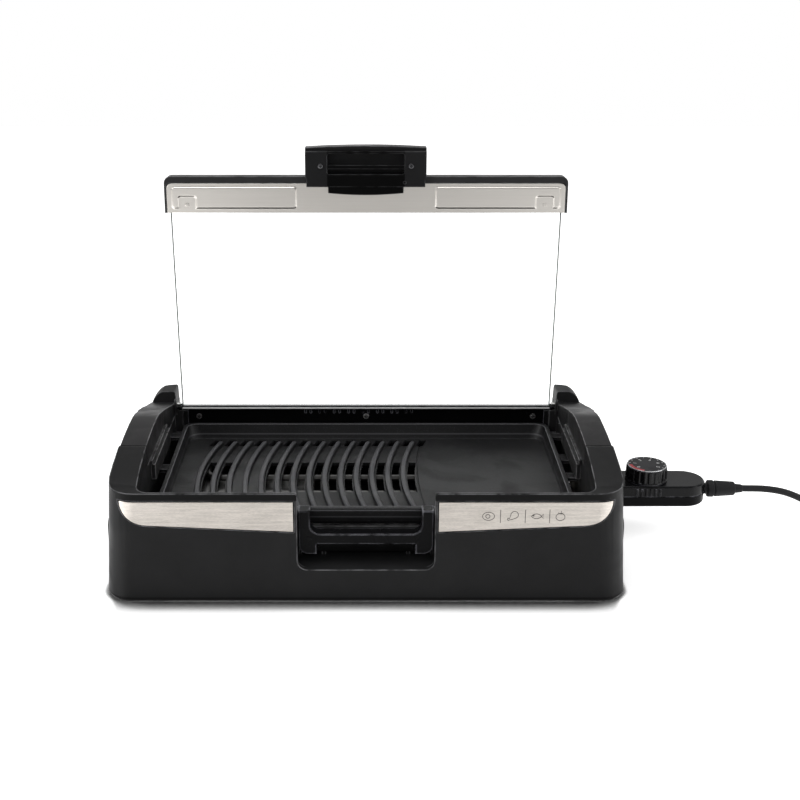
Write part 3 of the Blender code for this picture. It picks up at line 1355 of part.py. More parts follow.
def make_tray_grip(surface):
    """The H-shaped front piece of the tray: two posts, a cross bar and two lobes."""
    outer, post = GRIP_WIDTH / 2, GRIP_WIDTH / 2 - GRIP_POST_WIDTH
    lobe = GRIP_WIDTH / 2 - GRIP_LOBE_WIDTH
    half = [(post, GRIP_BAR_TOP), (post, GRIP_TOP), (outer, GRIP_TOP)]
    for i in range(CORNER_STEPS + 1):
        turn = QUARTER_TURN * i / CORNER_STEPS
        x = outer - GRIP_ROUND * (1 - math.cos(turn))
        z = GRIP_BOTTOM + GRIP_ROUND * (1 - math.sin(turn))
        half.append((x, z))
    half += [(lobe, GRIP_BOTTOM), (lobe, GRIP_BAR_BOTTOM)]
    outline = half + [(-x, z) for x, z in reversed(half)]
    rear = TRAY_FRONT - CLEARANCE
    grip = prism("tray_grip", outline, "Y", GRIP_FRONT, rear, surface)
    return soften(grip, GRIP_EDGE, 1)


# Rear panel and its screws


def make_rear_panel(surface):
    """The angled cover behind the plate, with slots for the hot air."""
    half = PANEL_WIDTH / 2
    rear = BULKHEAD_Y - CLEARANCE
    front = rear - PANEL_THICKNESS
    outline = [
        (front, PANEL_BOTTOM),
        (rear, PANEL_BOTTOM),
        (rear, PANEL_DECK - PANEL_THICKNESS),
        (WELL_HALF_DEPTH - CLEARANCE, PANEL_DECK - PANEL_THICKNESS),
        (WELL_HALF_DEPTH - CLEARANCE, PANEL_DECK),
        (front, PANEL_DECK),
    ]
    panel = prism("rear_panel", outline, "X", -half, half, surface)
    wide = WELL_HALF - 2 * CLEARANCE
    deck_y = (BULKHEAD_Y + DECK_SETBACK, WELL_HALF_DEPTH - 2 * CLEARANCE)
    deck_z = (PANEL_DECK - PANEL_THICKNESS + SINK / 4, PANEL_DECK - SINK / 4)
    join(panel, box("deck", (-wide, wide), deck_y, deck_z))
    for i in range(VENT_COUNT):
        for offset in (0.0, VENT_PAIR):
            x = VENT_LEFT + i * VENT_PITCH + offset
            x_range = (x - VENT_WIDTH / 2, x + VENT_WIDTH / 2)
            y_range = (front - OVERRUN, rear + OVERRUN)
            z_range = (VENT_BOTTOM, VENT_BOTTOM + VENT_HEIGHT)
            cut(panel, box("cutter", x_range, y_range, z_range))
    bore = PANEL_SCREW_SHANK + BORE_GAP
    for place in panel_screw_places():
        cut(panel, turned("cutter", [(bore, -OVERRUN), (bore, OVERRUN)], place, 12, axis="Y"))
    return panel


def make_panel_screw(name, place, surface):
    """A pan-head screw through the rear panel into the bulkhead."""
    x, y, z = place
    seat = -CLEARANCE - PANEL_THICKNESS - CLEARANCE
    head, shank = PANEL_SCREW_HEAD, PANEL_SCREW_SHANK
    profile = [
        (head / 2, seat - PANEL_SCREW_HEAD_HEIGHT),
        (head, seat - PANEL_SCREW_HEAD_HEIGHT / 3),
        (head, seat),
        (shank, seat),
        (shank, LINER_WALL - CLEARANCE),
    ]
    return smooth(turned(name, profile, (x, y, z), 12, surface, axis="Y"))


# Hinge and lid: modelled as (x, n, s) about the hinge axis, n to the rear, s upwards


def make_bracket(name, side, surface):
    """The hinge bearing on one side: a foot, a cheek with a bore and a stop for the heel."""
    y_range = (BRACKET_FRONT, BRACKET_REAR)
    x_range = side_range(side, BRACKET_INNER, BRACKET_OUTER)
    foot = box(name, x_range, y_range, (BRACKET_BOTTOM, BRACKET_TOP), surface)
    x_range = side_range(side, BRACKET_OUTER - BRACKET_CHEEK, BRACKET_OUTER)
    low, high = (BRACKET_FRONT, BRACKET_TOP), (BRACKET_REAR, BRACKET_CHEEK_TOP)
    outline = [(BRACKET_FRONT, BRACKET_TOP - SINK), (BRACKET_REAR, BRACKET_TOP - SINK)]
    round_top = rounded_box_outline(low, high, LUG_RADIUS / 2, 3)
    outline += [(y, z) for y, z in round_top if z > HINGE_HEIGHT]
    join(foot, prism("cheek", outline, "X", *x_range))
    lean_shift = HEEL_DROP * math.sin(LID_LEAN)
    stop_y = (BRACKET_FRONT, HINGE_Y - HEEL_FRONT - lean_shift - CLEARANCE)
    stop_z = (BRACKET_TOP - SINK, HINGE_HEIGHT - LUG_RADIUS - CLEARANCE)
    x_range = side_range(side, BRACKET_INNER, LUG_OUTER)
    join(foot, box("stop", x_range, stop_y, stop_z))
    bore = PIN_RADIUS + BORE_GAP
    start, end = side_range(side, BRACKET_OUTER - BRACKET_CHEEK - SINK, BRACKET_OUTER + OVERRUN)
    place = (0.0, HINGE_Y, HINGE_HEIGHT)
    return cut(foot, turned("cutter", [(bore, start), (bore, end)], place, 12, axis="X"))


def make_hinge_pin(name, side, surface):
    start, end = side_range(side, PIN_INNER, BRACKET_OUTER - CLEARANCE)
    profile = [(PIN_RADIUS, start), (PIN_RADIUS, end)]
    pin = turned(name, profile, (0.0, HINGE_Y, HINGE_HEIGHT), 12, surface, axis="X")
    return smooth(pin)


def lug_outline():
    """A round lug from the side with a straight heel below it that stops the open lid."""
    rear = HEEL_THICKNESS - HEEL_FRONT
    start = -math.acos(rear / LUG_RADIUS)
    end = 2 * math.pi - math.acos(-HEEL_FRONT / LUG_RADIUS)
    outline = [(-HEEL_FRONT, -HEEL_DROP), (rear, -HEEL_DROP)]
    for turn in steps(start, end, 3 * CORNER_STEPS):
        outline.append((LUG_RADIUS * math.cos(turn), LUG_RADIUS * math.sin(turn)))
    return outline


def make_hinge_bar(surface):
    """The channel along the lower edge of the glass, with a lug and a heel at each end."""
    groove_front, groove_rear = -CLEARANCE, GLASS_THICKNESS + CLEARANCE
    floor = GLASS_BOTTOM - CLEARANCE
    outline = [
        (-HINGE_BAR_FRONT, -HINGE_BAR_DROP),
        (HINGE_BAR_BACK, -HINGE_BAR_DROP),
        (HINGE_BAR_BACK, HINGE_BAR_RISE),
        (groove_rear, HINGE_BAR_RISE),
        (groove_rear, floor),
        (groove_front, floor),
        (groove_front, HINGE_BAR_RISE),
        (-HINGE_BAR_FRONT, HINGE_BAR_RISE),
    ]
    half = HINGE_BAR_LENGTH / 2
    bar = prism("hinge_bar", outline, "X", -half, half, surface)
    for _, side in SIDES:
        start, end = side_range(side, LUG_INNER, LUG_OUTER)
        join(bar, prism("lug", lug_outline(), "X", start, end))
        bore = PIN_RADIUS + BORE_GAP
        start, end = side_range(side, PIN_INNER - CLEARANCE, LUG_OUTER + OVERRUN)
        cut(bar, turned("cutter", [(bore, start), (bore, end)], (0.0, 0.0, 0.0), 12, axis="X"))
    return bar


def make_glass(surface):
    bottom, top = GLASS_BOTTOM_WIDTH / 2, GLASS_TOP_WIDTH / 2
    outline = [(-bottom, GLASS_BOTTOM), (bottom, GLASS_BOTTOM), (top, GLASS_TOP), (-top, GLASS_TOP)]
    return prism("lid_glass", outline, "Y", 0.0, GLASS_THICKNESS, surface)


def upright_block(name, width, bottom, top, n_range, radius, surface=None):
    """A block with round corners seen from the front."""
    outline = rounded_box_outline((-width / 2, bottom), (width / 2, top), radius, 4)
    return prism(name, outline, "Y", *sorted(n_range), surface)


def lid_screw_bore(length, radius, gap):
    made = []
    for _, side in SIDES:
        place = (side * LID_SCREW_X, -RAIL_FRONT, LID_SCREW_HEIGHT)
        profile = [(radius + gap, -OVERRUN), (radius + gap, length)]
        made.append(turned("cutter", profile, place, 12, axis="Y"))
    return made


def make_rail(surface):
    """The frame along the upper edge of the glass, with seats for glass and inner plate."""
    half = RAIL_WIDTH / 2
    outline = [(-half, RAIL_BOTTOM), (half, RAIL_BOTTOM)]
    round_top = rounded_box_outline((-half, RAIL_BOTTOM), (half, RAIL_TOP), RAIL_RADIUS)
    middle = (RAIL_BOTTOM + RAIL_TOP) / 2
    outline += [(x, s) for x, s in round_top if s > middle]
    rail = prism("lid_rail", outline, "Y", -RAIL_FRONT, RAIL_BACK - RAIL_EDGE, surface)
    inner = [(x * (half - RAIL_EDGE) / half, min(s, RAIL_TOP - RAIL_EDGE)) for x, s in outline]
    start = RAIL_BACK - RAIL_EDGE - SINK
    crown = loft("crown", [lift(outline, "Y", start), lift(inner, "Y", RAIL_BACK)])
    join(rail, crown)
    slot = GLASS_TOP_WIDTH / 2 + CLEARANCE
    n_range = (-CLEARANCE, GLASS_THICKNESS + CLEARANCE)
    cut(rail, box("cutter", (-slot, slot), n_range, (RAIL_BOTTOM - OVERRUN, GLASS_TOP + CLEARANCE)))
    width = INNER_PLATE_WIDTH + 2 * CLEARANCE
    seat = -RAIL_FRONT + INNER_PLATE_THICKNESS + CLEARANCE
    bottom = RAIL_BOTTOM - OVERRUN
    top = INNER_PLATE_TOP + CLEARANCE
    n_range = (-RAIL_FRONT - OVERRUN, seat)
    cut(rail, upright_block("cutter", width, bottom, top, n_range, RAIL_RADIUS / 3))
    length = RAIL_FRONT - CLEARANCE + SINK
    cut(rail, *lid_screw_bore(length, LID_SCREW_SHANK, BORE_GAP))
    return smooth(rail)


def make_inner_plate(surface):
    """The steel plate on the inner side of the rail, with two shallow panels and two pockets."""
    n_range = (-RAIL_FRONT, -RAIL_FRONT + INNER_PLATE_THICKNESS)
    bottom, top = INNER_PLATE_BOTTOM, INNER_PLATE_TOP
    plate = upright_block(
        "lid_inner_plate", INNER_PLATE_WIDTH, bottom, top, n_range, RAIL_RADIUS / 3, surface
    )
    for _, side in SIDES:
        x0, x1 = side_range(side, LID_PANEL_INNER, LID_PANEL_OUTER)
        low, high = (x0, LID_PANEL_BOTTOM), (x1, LID_PANEL_TOP)
        panel = rounded_box_outline(low, high, LID_PANEL_RADIUS, 3)
        start = -RAIL_FRONT - OVERRUN
        cut(plate, prism("cutter", panel, "Y", start, -RAIL_FRONT + LID_PANEL_DEPTH))
        x0, x1 = side_range(side, POCKET_INNER, POCKET_OUTER)
        low, high = (x0, POCKET_BOTTOM), (x1, POCKET_TOP)
        pocket = rounded_box_outline(low, high, LID_PANEL_RADIUS, 3)
        cut(plate, prism("cutter", pocket, "Y", start, OVERRUN))
    return plate


def make_lid_screw(name, side, surface):
    """A screw in one pocket of the inner plate, driven into the rail."""
    seat = INNER_PLATE_THICKNESS
    head, shank = LID_SCREW_HEAD, LID_SCREW_SHANK
    profile = [
        (head * SCREW_CROWN_SHARE, seat - LID_SCREW_HEAD_HEIGHT),
        (head, seat - LID_SCREW_HEAD_HEIGHT / 2),
        (head, seat),
        (shank, seat),
        (shank, seat + LID_SCREW_LENGTH),
    ]
    place = (side * LID_SCREW_X, -RAIL_FRONT, LID_SCREW_HEIGHT)
    return smooth(turned(name, profile, place, 12, surface, axis="Y"))


def handle_outline(half, bottom, top, arch):
    """A handle piece from the front, with a slightly arched top."""
    crown = []
    for i in range(CURVE_STEPS + 1):
        share = 1 - 2 * i / CURVE_STEPS
        crown.append((share * half, top + arch * (1 - share * share)))
    return [(-half, bottom), (half, bottom)] + crown


def make_handle_shell(surface):
    """The handle's outer shell, open towards the front piece."""
    half = HANDLE_WIDTH / 2
    bottom = RAIL_TOP + CLEARANCE
    front = -FACE_BACK + CLEARANCE
    rings = [
        lift(handle_outline(half, bottom, HANDLE_TOP, HANDLE_ARCH), "Y", front),
        lift(handle_outline(half, bottom, HANDLE_TOP, HANDLE_ARCH), "Y", HANDLE_BACK - HANDLE_EDGE),
        lift(
            handle_outline(half - HANDLE_EDGE, bottom, HANDLE_TOP - HANDLE_EDGE, HANDLE_ARCH),
            "Y",
            HANDLE_BACK,
        ),
    ]
    shell = loft("handle_shell", rings, surface)
    width = FACE_WINDOW_WIDTH
    low, high = FACE_WINDOW_BOTTOM, FACE_WINDOW_TOP
    n_range = (front - OVERRUN, front + HANDLE_CAVITY_DEPTH)
    cut(shell, upright_block("cutter", width, low, high, n_range, HANDLE_EDGE))
    for _, side in SIDES:
        place = (side * HANDLE_SCREW_X, front, HANDLE_SCREW_HEIGHT)
        bore = HANDLE_SCREW_SHANK + BORE_GAP
        length = HANDLE_SCREW_LENGTH
        cut(shell, turned("cutter", [(bore, -OVERRUN), (bore, length)], place, 12, axis="Y"))
    return smooth(shell)


def make_handle_face(surface):
    """The handle's front piece: two cheeks, a grip bar, a strip and a tongue below."""
    half, strip = FACE_WIDTH / 2, FACE_STRIP_WIDTH / 2
    outline = [
        (-strip, FACE_BOTTOM),
        (strip, FACE_BOTTOM),
        (strip, FACE_SHOULDER),
        (half, FACE_SHOULDER),
        (half, FACE_TOP),
        (-half, FACE_TOP),
        (-half, FACE_SHOULDER),
        (-strip, FACE_SHOULDER),
    ]
    n_rear = -RAIL_FRONT - CLEARANCE
    face = prism("handle_face", outline, "Y", -FACE_FRONT, n_rear, surface)
    back = handle_outline(half, RAIL_TOP + CLEARANCE, FACE_TOP, 0.0)
    join(face, prism("back", back, "Y", n_rear - SINK, -FACE_BACK))
    tongue = []
    for i in range(CURVE_STEPS + 1):
        share = 2 * i / CURVE_STEPS - 1
        tongue.append((share * TONGUE_WIDTH / 2, TONGUE_BOTTOM + TONGUE_BOW * share * share))
    tongue += [(TONGUE_WIDTH / 2, FACE_SHOULDER), (-TONGUE_WIDTH / 2, FACE_SHOULDER)]
    join(face, prism("tongue", tongue, "Y", -TONGUE_FRONT, -TONGUE_BACK))
    width, start, end = FACE_WINDOW_WIDTH, -FACE_FRONT - OVERRUN, OVERRUN
    low, high = FACE_WINDOW_BOTTOM, FACE_WINDOW_TOP
    cut(face, upright_block("cutter", width, low, high, (start, end), HANDLE_EDGE))
    bar_half = width / 2 + SINK
    bar_n = (-FACE_FRONT + SINK, -FACE_FRONT + SINK + FACE_BAR_DEPTH)
    join(face, box("bar", (-bar_half, bar_half), bar_n, (FACE_BAR_BOTTOM, FACE_BAR_TOP)))
    bore = HANDLE_SCREW_SHANK + BORE_GAP
    for _, side in SIDES:
        place = (side * HANDLE_SCREW_X, -FACE_FRONT, HANDLE_SCREW_HEIGHT)
        profile = [(bore, -OVERRUN), (bore, FACE_FRONT)]
        cut(face, turned("cutter", profile, place, 12, axis="Y"))
    place = (BOSS_X, -FACE_FRONT, BOSS_HEIGHT)
    profile = [(BOSS_RADIUS, -BOSS_PROUD), (BOSS_RADIUS, SINK)]
    return join(face, turned("boss", profile, place, 12, axis="Y"))


def make_handle_screw(name, side, surface):
    head, shank = HANDLE_SCREW_HEAD, HANDLE_SCREW_SHANK
    seat = -CLEARANCE
    profile = [
        (head * SCREW_CROWN_SHARE, seat - HANDLE_SCREW_HEAD_HEIGHT),
        (head, seat - HANDLE_SCREW_HEAD_HEIGHT / 2),
        (head, seat),
        (shank, seat),
        (shank, seat + HANDLE_SCREW_LENGTH + 2 * HANDLE_SCREW_HEAD),
    ]
    place = (side * HANDLE_SCREW_X, -FACE_FRONT, HANDLE_SCREW_HEIGHT)
    return smooth(turned(name, profile, place, 12, surface, axis="Y"))


# Thermostat


def housing_outline(grow=0.0):
    """The thermostat from above: a short bar with a round outer end."""
    half = HOUSING_WIDTH / 2 + grow
    centre = HOUSING_RIGHT - HOUSING_WIDTH / 2
    left = HOUSING_LEFT - grow
    outline = [(left, THERMOSTAT_Y - half)]
    for i in range(2 * CORNER_STEPS + 1):
        turn = math.pi * (-0.5 + 0.5 * i / CORNER_STEPS)
        x, y = centre + half * math.cos(turn), THERMOSTAT_Y + half * math.sin(turn)
        outline.append((x, y))
    outline.append((left, THERMOSTAT_Y + half))
    return outline


def make_housing_half(name, upward, surface):
    """One half of the thermostat's casing, hollow towards the other half."""
    seam = THERMOSTAT_HEIGHT + upward * CLEARANCE / 2
    face = THERMOSTAT_HEIGHT + upward * HOUSING_HEIGHT / 2
    rings = [
        lift(housing_outline(), "Z", seam),
        lift(housing_outline(), "Z", face - upward * HOUSING_EDGE),
        lift(housing_outline(-HOUSING_EDGE), "Z", face),
    ]
    half = loft(name, rings, surface)
    z_range = sorted((seam - upward * OVERRUN, face - upward * HOUSING_SKIN))
    cut(half, prism("cutter", housing_outline(-HOUSING_SKIN), "Z", *z_range))
    if upward > 0:
        for i in range(GRIP_RIB_COUNT):
            x = GRIP_RIB_FIRST + i * GRIP_RIB_PITCH
            x_range = (x - GRIP_RIB_WIDTH / 2, x + GRIP_RIB_WIDTH / 2)
            wall = THERMOSTAT_Y - HOUSING_WIDTH / 2
            y_range = (wall - GRIP_RIB_PROUD, wall + SINK)
            join(half, box("rib", x_range, y_range, (seam, seam + GRIP_RIB_HEIGHT)))
        bore = KNOB_SHAFT_RADIUS + BORE_GAP
        place = (KNOB_X, THERMOSTAT_Y, face)
        cut(half, turned("cutter", [(bore, -OVERRUN), (bore, OVERRUN)], place, 16))
    relief = RELIEF_TIP_RADIUS / 2 + BORE_GAP
    place = (HOUSING_RIGHT, THERMOSTAT_Y, THERMOSTAT_HEIGHT)
    cutter = turned("cutter", [(relief, -OVERRUN), (relief, OVERRUN)], place, 16, axis="X")
    return smooth(cut(half, cutter), math.radians(50))


def make_nose(surface):
    """The insulating block that carries probe and contact sleeves into the port."""
    half_y, half_z = NOSE_WIDTH / 2, NOSE_HEIGHT / 2
    low = (THERMOSTAT_Y - half_y, THERMOSTAT_HEIGHT - half_z)
    high = (THERMOSTAT_Y + half_y, THERMOSTAT_HEIGHT + half_z)
    outline = rounded_box_outline(low, high, HOUSING_ROUND / 2, 2)
    nose = prism("probe_nose", outline, "X", NOSE_LEFT, HOUSING_LEFT - CLEARANCE, surface)
    bores = [(THERMOSTAT_Y, PROBE_RADIUS + BORE_GAP)]
    bores += [(y, SLEEVE_RADIUS + BORE_GAP) for _, y in terminal_places()]
    end = SLEEVE_END + CLEARANCE
    for y, radius in bores:
        profile = [(radius, NOSE_LEFT - OVERRUN), (radius, end)]
        cut(nose, turned("cutter", profile, (0.0, y, THERMOSTAT_HEIGHT), 12, axis="X"))
    return nose


def make_sleeve(name, y, surface):
    """A contact sleeve that slides over one terminal pin."""
    start = NOSE_LEFT + CLEARANCE
    outer, bore = SLEEVE_RADIUS, SLEEVE_BORE
    profile = [(bore, start), (outer, start), (outer, SLEEVE_END), (bore, SLEEVE_END)]
    centre = (0.0, y, THERMOSTAT_HEIGHT)
    return smooth(turned(name, profile, centre, 12, surface, axis="X", closed=True))


def make_probe(surface):
    tip = PROBE_RADIUS / 2
    profile = [
        (tip, PROBE_LEFT),
        (PROBE_RADIUS, PROBE_LEFT + tip),
        (PROBE_RADIUS, SLEEVE_END),
    ]
    centre = (0.0, THERMOSTAT_Y, THERMOSTAT_HEIGHT)
    return smooth(turned("probe_stem", profile, centre, 12, surface, axis="X"))


HOUSING_TOP = THERMOSTAT_HEIGHT + HOUSING_HEIGHT / 2
KNOB_BOTTOM = HOUSING_TOP + CLEARANCE
KNOB_TOP = KNOB_BOTTOM + KNOB_HEIGHT


def fluted_ring(radius, depth, height):
    """A level ring whose radius dips between the knob's finger ridges."""
    ring = []
    count = 4 * FLUTE_COUNT
    for i in range(count):
        turn = 2 * math.pi * i / count
        dip = depth if i % 4 in (2, 3) else 0.0
        ring.append(((radius - dip) * math.cos(turn), (radius - dip) * math.sin(turn), height))
    return ring


def make_knob(surface):
    """The control knob, modelled about its own axis with its foot at height 0."""
    rings = [
        fluted_ring(KNOB_RADIUS, 0.0, 0.0),
        fluted_ring(KNOB_RADIUS, 0.0, KNOB_SKIRT),
        fluted_ring(KNOB_RADIUS - KNOB_SKIRT / 4, FLUTE_DEPTH, KNOB_SKIRT + KNOB_SKIRT / 4),
        fluted_ring(KNOB_TOP_RADIUS, FLUTE_DEPTH, KNOB_HEIGHT - KNOB_SKIRT),
        fluted_ring(KNOB_TOP_RADIUS - FLUTE_DEPTH, 0.0, KNOB_HEIGHT),
    ]
    knob = loft("knob", rings, surface)
    grip_x = (-DIAL_INNER + CLEARANCE, DIAL_INNER - CLEARANCE)
    grip_y = (-KNOB_GRIP_WIDTH / 2, KNOB_GRIP_WIDTH / 2)
    grip_z = (KNOB_HEIGHT - SINK, KNOB_HEIGHT + KNOB_GRIP_HEIGHT)
    join(knob, box("grip", grip_x, grip_y, grip_z))
    bore = KNOB_SHAFT_RADIUS + BORE_GAP
    profile = [(bore, -OVERRUN), (bore, KNOB_HEIGHT / 2)]
    cut(knob, turned("cutter", profile, (0.0, 0.0, 0.0), 16))
    return smooth(knob)


def make_dial(surface):
    """The printed ring on top of the knob."""
    low = KNOB_HEIGHT + CLEARANCE
    high = low + DIAL_THICKNESS
    outer, inner = DIAL_OUTER, DIAL_INNER + CLEARANCE
    profile = [(inner, low), (outer, low), (outer, high), (inner, high)]
    return smooth(turned("knob_dial", profile, (0.0, 0.0, 0.0), 40, surface, closed=True))


def make_shaft(surface):
    low = HOUSING_TOP - KNOB_SHAFT_DEPTH - KNOB_BOTTOM
    profile = [(KNOB_SHAFT_RADIUS, low), (KNOB_SHAFT_RADIUS, KNOB_HEIGHT / 2 - CLEARANCE)]
    return smooth(turned("knob_shaft", profile, (0.0, 0.0, 0.0), 16, surface))


# Mains cord


RELIEF_START = HOUSING_RIGHT + CLEARANCE
RELIEF_END = RELIEF_START + RELIEF_COLLAR_LENGTH + RELIEF_LENGTH


def make_relief(surface):
    """The collar and the ribbed, tapering sleeve where the cord leaves the thermostat."""
    collar = RELIEF_COLLAR_LENGTH
    profile = [
        (RELIEF_COLLAR_RADIUS, 0.0),
        (RELIEF_COLLAR_RADIUS, collar - SINK),
        (RELIEF_COLLAR_RADIUS - SINK, collar),
    ]
    for i in range(RELIEF_RIBS):
        share = i / RELIEF_RIBS
        radius = RELIEF_ROOT_RADIUS + (RELIEF_TIP_RADIUS - RELIEF_ROOT_RADIUS) * share
        start = collar + RELIEF_LENGTH * share
        pitch = RELIEF_LENGTH / RELIEF_RIBS
        for place_share, drop in RELIEF_RIB_SHARES:
            profile.append((radius - RELIEF_RIB_DEPTH * drop, start + pitch * place_share))
    profile.append((RELIEF_TIP_RADIUS - RELIEF_RIB_DEPTH, collar + RELIEF_LENGTH))
    place = (RELIEF_START, THERMOSTAT_Y, THERMOSTAT_HEIGHT)
    relief = turned("strain_relief", profile, place, 16, surface, axis="X")
    bore = CORD_DIAMETER / 2 + BORE_GAP
    start = collar + RELIEF_LENGTH - RELIEF_BORE_DEPTH
    cutter = turned("cutter", [(bore, start), (bore, start + OVERRUN)], place, 16, axis="X")
    return smooth(cut(relief, cutter))


def smooth_route(points, samples):
    """Points on a smooth curve through the route's points."""
    known = [Vector(point) for point in points]
    known = [2 * known[0] - known[1]] + known + [2 * known[-1] - known[-2]]
    path = []
    for before, start, end, after in zip(known, known[1:], known[2:], known[3:]):
        for i in range(samples):
            t = i / samples
            bend = 2 * before - 5 * start + 4 * end - after
            twist = 3 * start - before - 3 * end + after
            path.append((2 * start + (end - before) * t + bend * t**2 + twist * t**3) / 2)
    path.append(known[-2])
    return path


CORD_RADIUS = CORD_DIAMETER / 2
CORD_FLOOR = CORD_RADIUS + COIL_LIFT
CORD_EXIT_Z = THERMOSTAT_HEIGHT
CORD_START_X = RELIEF_END - RELIEF_BORE_DEPTH + CLEARANCE
COIL_START = (0.5350, 0.0420, CORD_FLOOR)
CORD_ROUTE = (
    (CORD_START_X, THERMOSTAT_Y, CORD_EXIT_Z),
    (CORD_START_X + CORD_DIAMETER, THERMOSTAT_Y, CORD_EXIT_Z),
    (0.4150, 0.0058, 0.0446),
    (0.4360, 0.0070, 0.0405),
    (0.4560, 0.0100, 0.0315),
    (0.4740, 0.0150, 0.0195),
    (0.4910, 0.0225, 0.0090),
    (0.5080, 0.0320, 0.0045),
    (0.5200, 0.0390, CORD_FLOOR),
    (COIL_START[0] - CORD_DIAMETER - CLEARANCE, COIL_START[1], CORD_FLOOR),
    (COIL_START[0] - CLEARANCE, COIL_START[1], CORD_FLOOR),
)


def coil_points():
    """The coil's middle line: in on the floor, up in the half turn at the inside, out again."""
    centre_x = COIL_START[0] + CORD_DIAMETER
    centre_y = COIL_START[1] + COIL_OUTER_RADIUS
    per_turn = COIL_POINTS_PER_TURN
    inward = round(COIL_TURNS_IN * per_turn)
    outward = round(COIL_TURNS_OUT * per_turn)
    climb = per_turn // 2
    inner_radius = COIL_OUTER_RADIUS - COIL_PITCH * COIL_TURNS_IN
    points = [Vector(COIL_START)]
    for i in range(inward + climb + outward + 1):
        turn = 2 * math.pi * i / per_turn - math.pi / 2
        if i <= inward:
            radius, level = COIL_OUTER_RADIUS - COIL_PITCH * i / per_turn, 0.0
        elif i < inward + climb:
            share = (i - inward) / climb
            radius = inner_radius - COIL_DIP * math.sin(math.pi * share)
            level = 0.5 - 0.5 * math.cos(math.pi * share)
        else:
            radius, level = inner_radius + COIL_PITCH * (i - inward - climb) / per_turn, 1.0
        x, y = centre_x + radius * math.cos(turn), centre_y + radius * math.sin(turn)
        points.append(Vector((x, y, CORD_FLOOR + COIL_PITCH * level)))
    tangent = 2 * math.pi * (inward + climb + outward) / per_turn
    heading = Vector((math.cos(tangent), math.sin(tangent), 0.0))
    end = points[-1]
    points.append(end + heading * (COIL_TAIL - CORD_DIAMETER))
    points.append(end + heading * COIL_TAIL)
    return points, heading


def least_gap(points):
    """The least distance between turns of the coil, less one cord diameter."""
    least = math.inf
    near = COIL_POINTS_PER_TURN // 2
    for i, here in enumerate(points):
        for start, end in zip(points[i + near :], points[i + near + 1 :]):
            along = end - start
            share = min(1.0, max(0.0, (here - start).dot(along) / along.length_squared))
            least = min(least, (here - start - along * share).length)
    return least - CORD_DIAMETER


def make_plug(tip, heading, surface, pin_surface):
    """A flat two-pin plug at the end of the coil, along the coil's last direction."""
    side = Vector((-heading.y, heading.x, 0.0))
    up = Vector((0.0, 0.0, 1.0))
    start = tip + heading * CLEARANCE

    def ring(along, half_side, half_up, radius):
        flat = rounded_rectangle(half_side, half_up, radius, 4)
        return [start + heading * along + side * a + up * b for a, b in flat]

    neck, width, thick = PLUG_NECK_RADIUS, PLUG_WIDTH / 2, PLUG_THICKNESS / 2
    round_ = PLUG_ROUND
    end = PLUG_NECK_LENGTH + PLUG_LENGTH
    shoulder = PLUG_NECK_LENGTH + round_
    rings = [
        ring(0.0, neck - SINK, neck - SINK, neck - 2 * SINK),
        ring(PLUG_NECK_LENGTH, neck, neck, neck - SINK),
        ring(shoulder, width * PLUG_SHOULDER_SHARE, thick - SINK, round_),
        ring(shoulder + round_, width, thick, round_),
        ring(end - SINK, width, thick, round_),
        ring(end, width - SINK, thick - SINK, round_ - SINK),
    ]
    plug = loft("plug_body", rings, surface)
    for name, sign in SIDES:
        place = start + side * (sign * PLUG_PIN_SPACING / 2)
        root, tip_end = end - PLUG_PIN_ROOT, end + PLUG_PIN_LENGTH
        radius = PLUG_PIN_RADIUS
        turned_rings = []
        for r, along in (
            (radius, root + CLEARANCE),
            (radius, tip_end - radius / 2),
            (radius / 2, tip_end),
        ):
            flat = circle(r, 12)
            turned_rings.append([place + heading * along + side * a + up * b for a, b in flat])
        smooth(loft(f"plug_pin_{name}", turned_rings, pin_surface))
        bore = []
        for along in (root, end + OVERRUN):
            flat = circle(radius + BORE_GAP, 12)
            bore.append([place + heading * along + side * a + up * b for a, b in flat])
        cut(plug, loft("cutter", bore))
    return smooth(plug)


# Assembly


def empty(name, place, turn=0.0):
    obj = bpy.data.objects.new(name, None)
    obj.location = place
    obj.rotation_euler = (turn, 0.0, 0.0)
    bpy.context.collection.objects.link(obj)
    return obj


def attach(parent, *pieces):
    for piece in pieces:
        piece.parent = parent


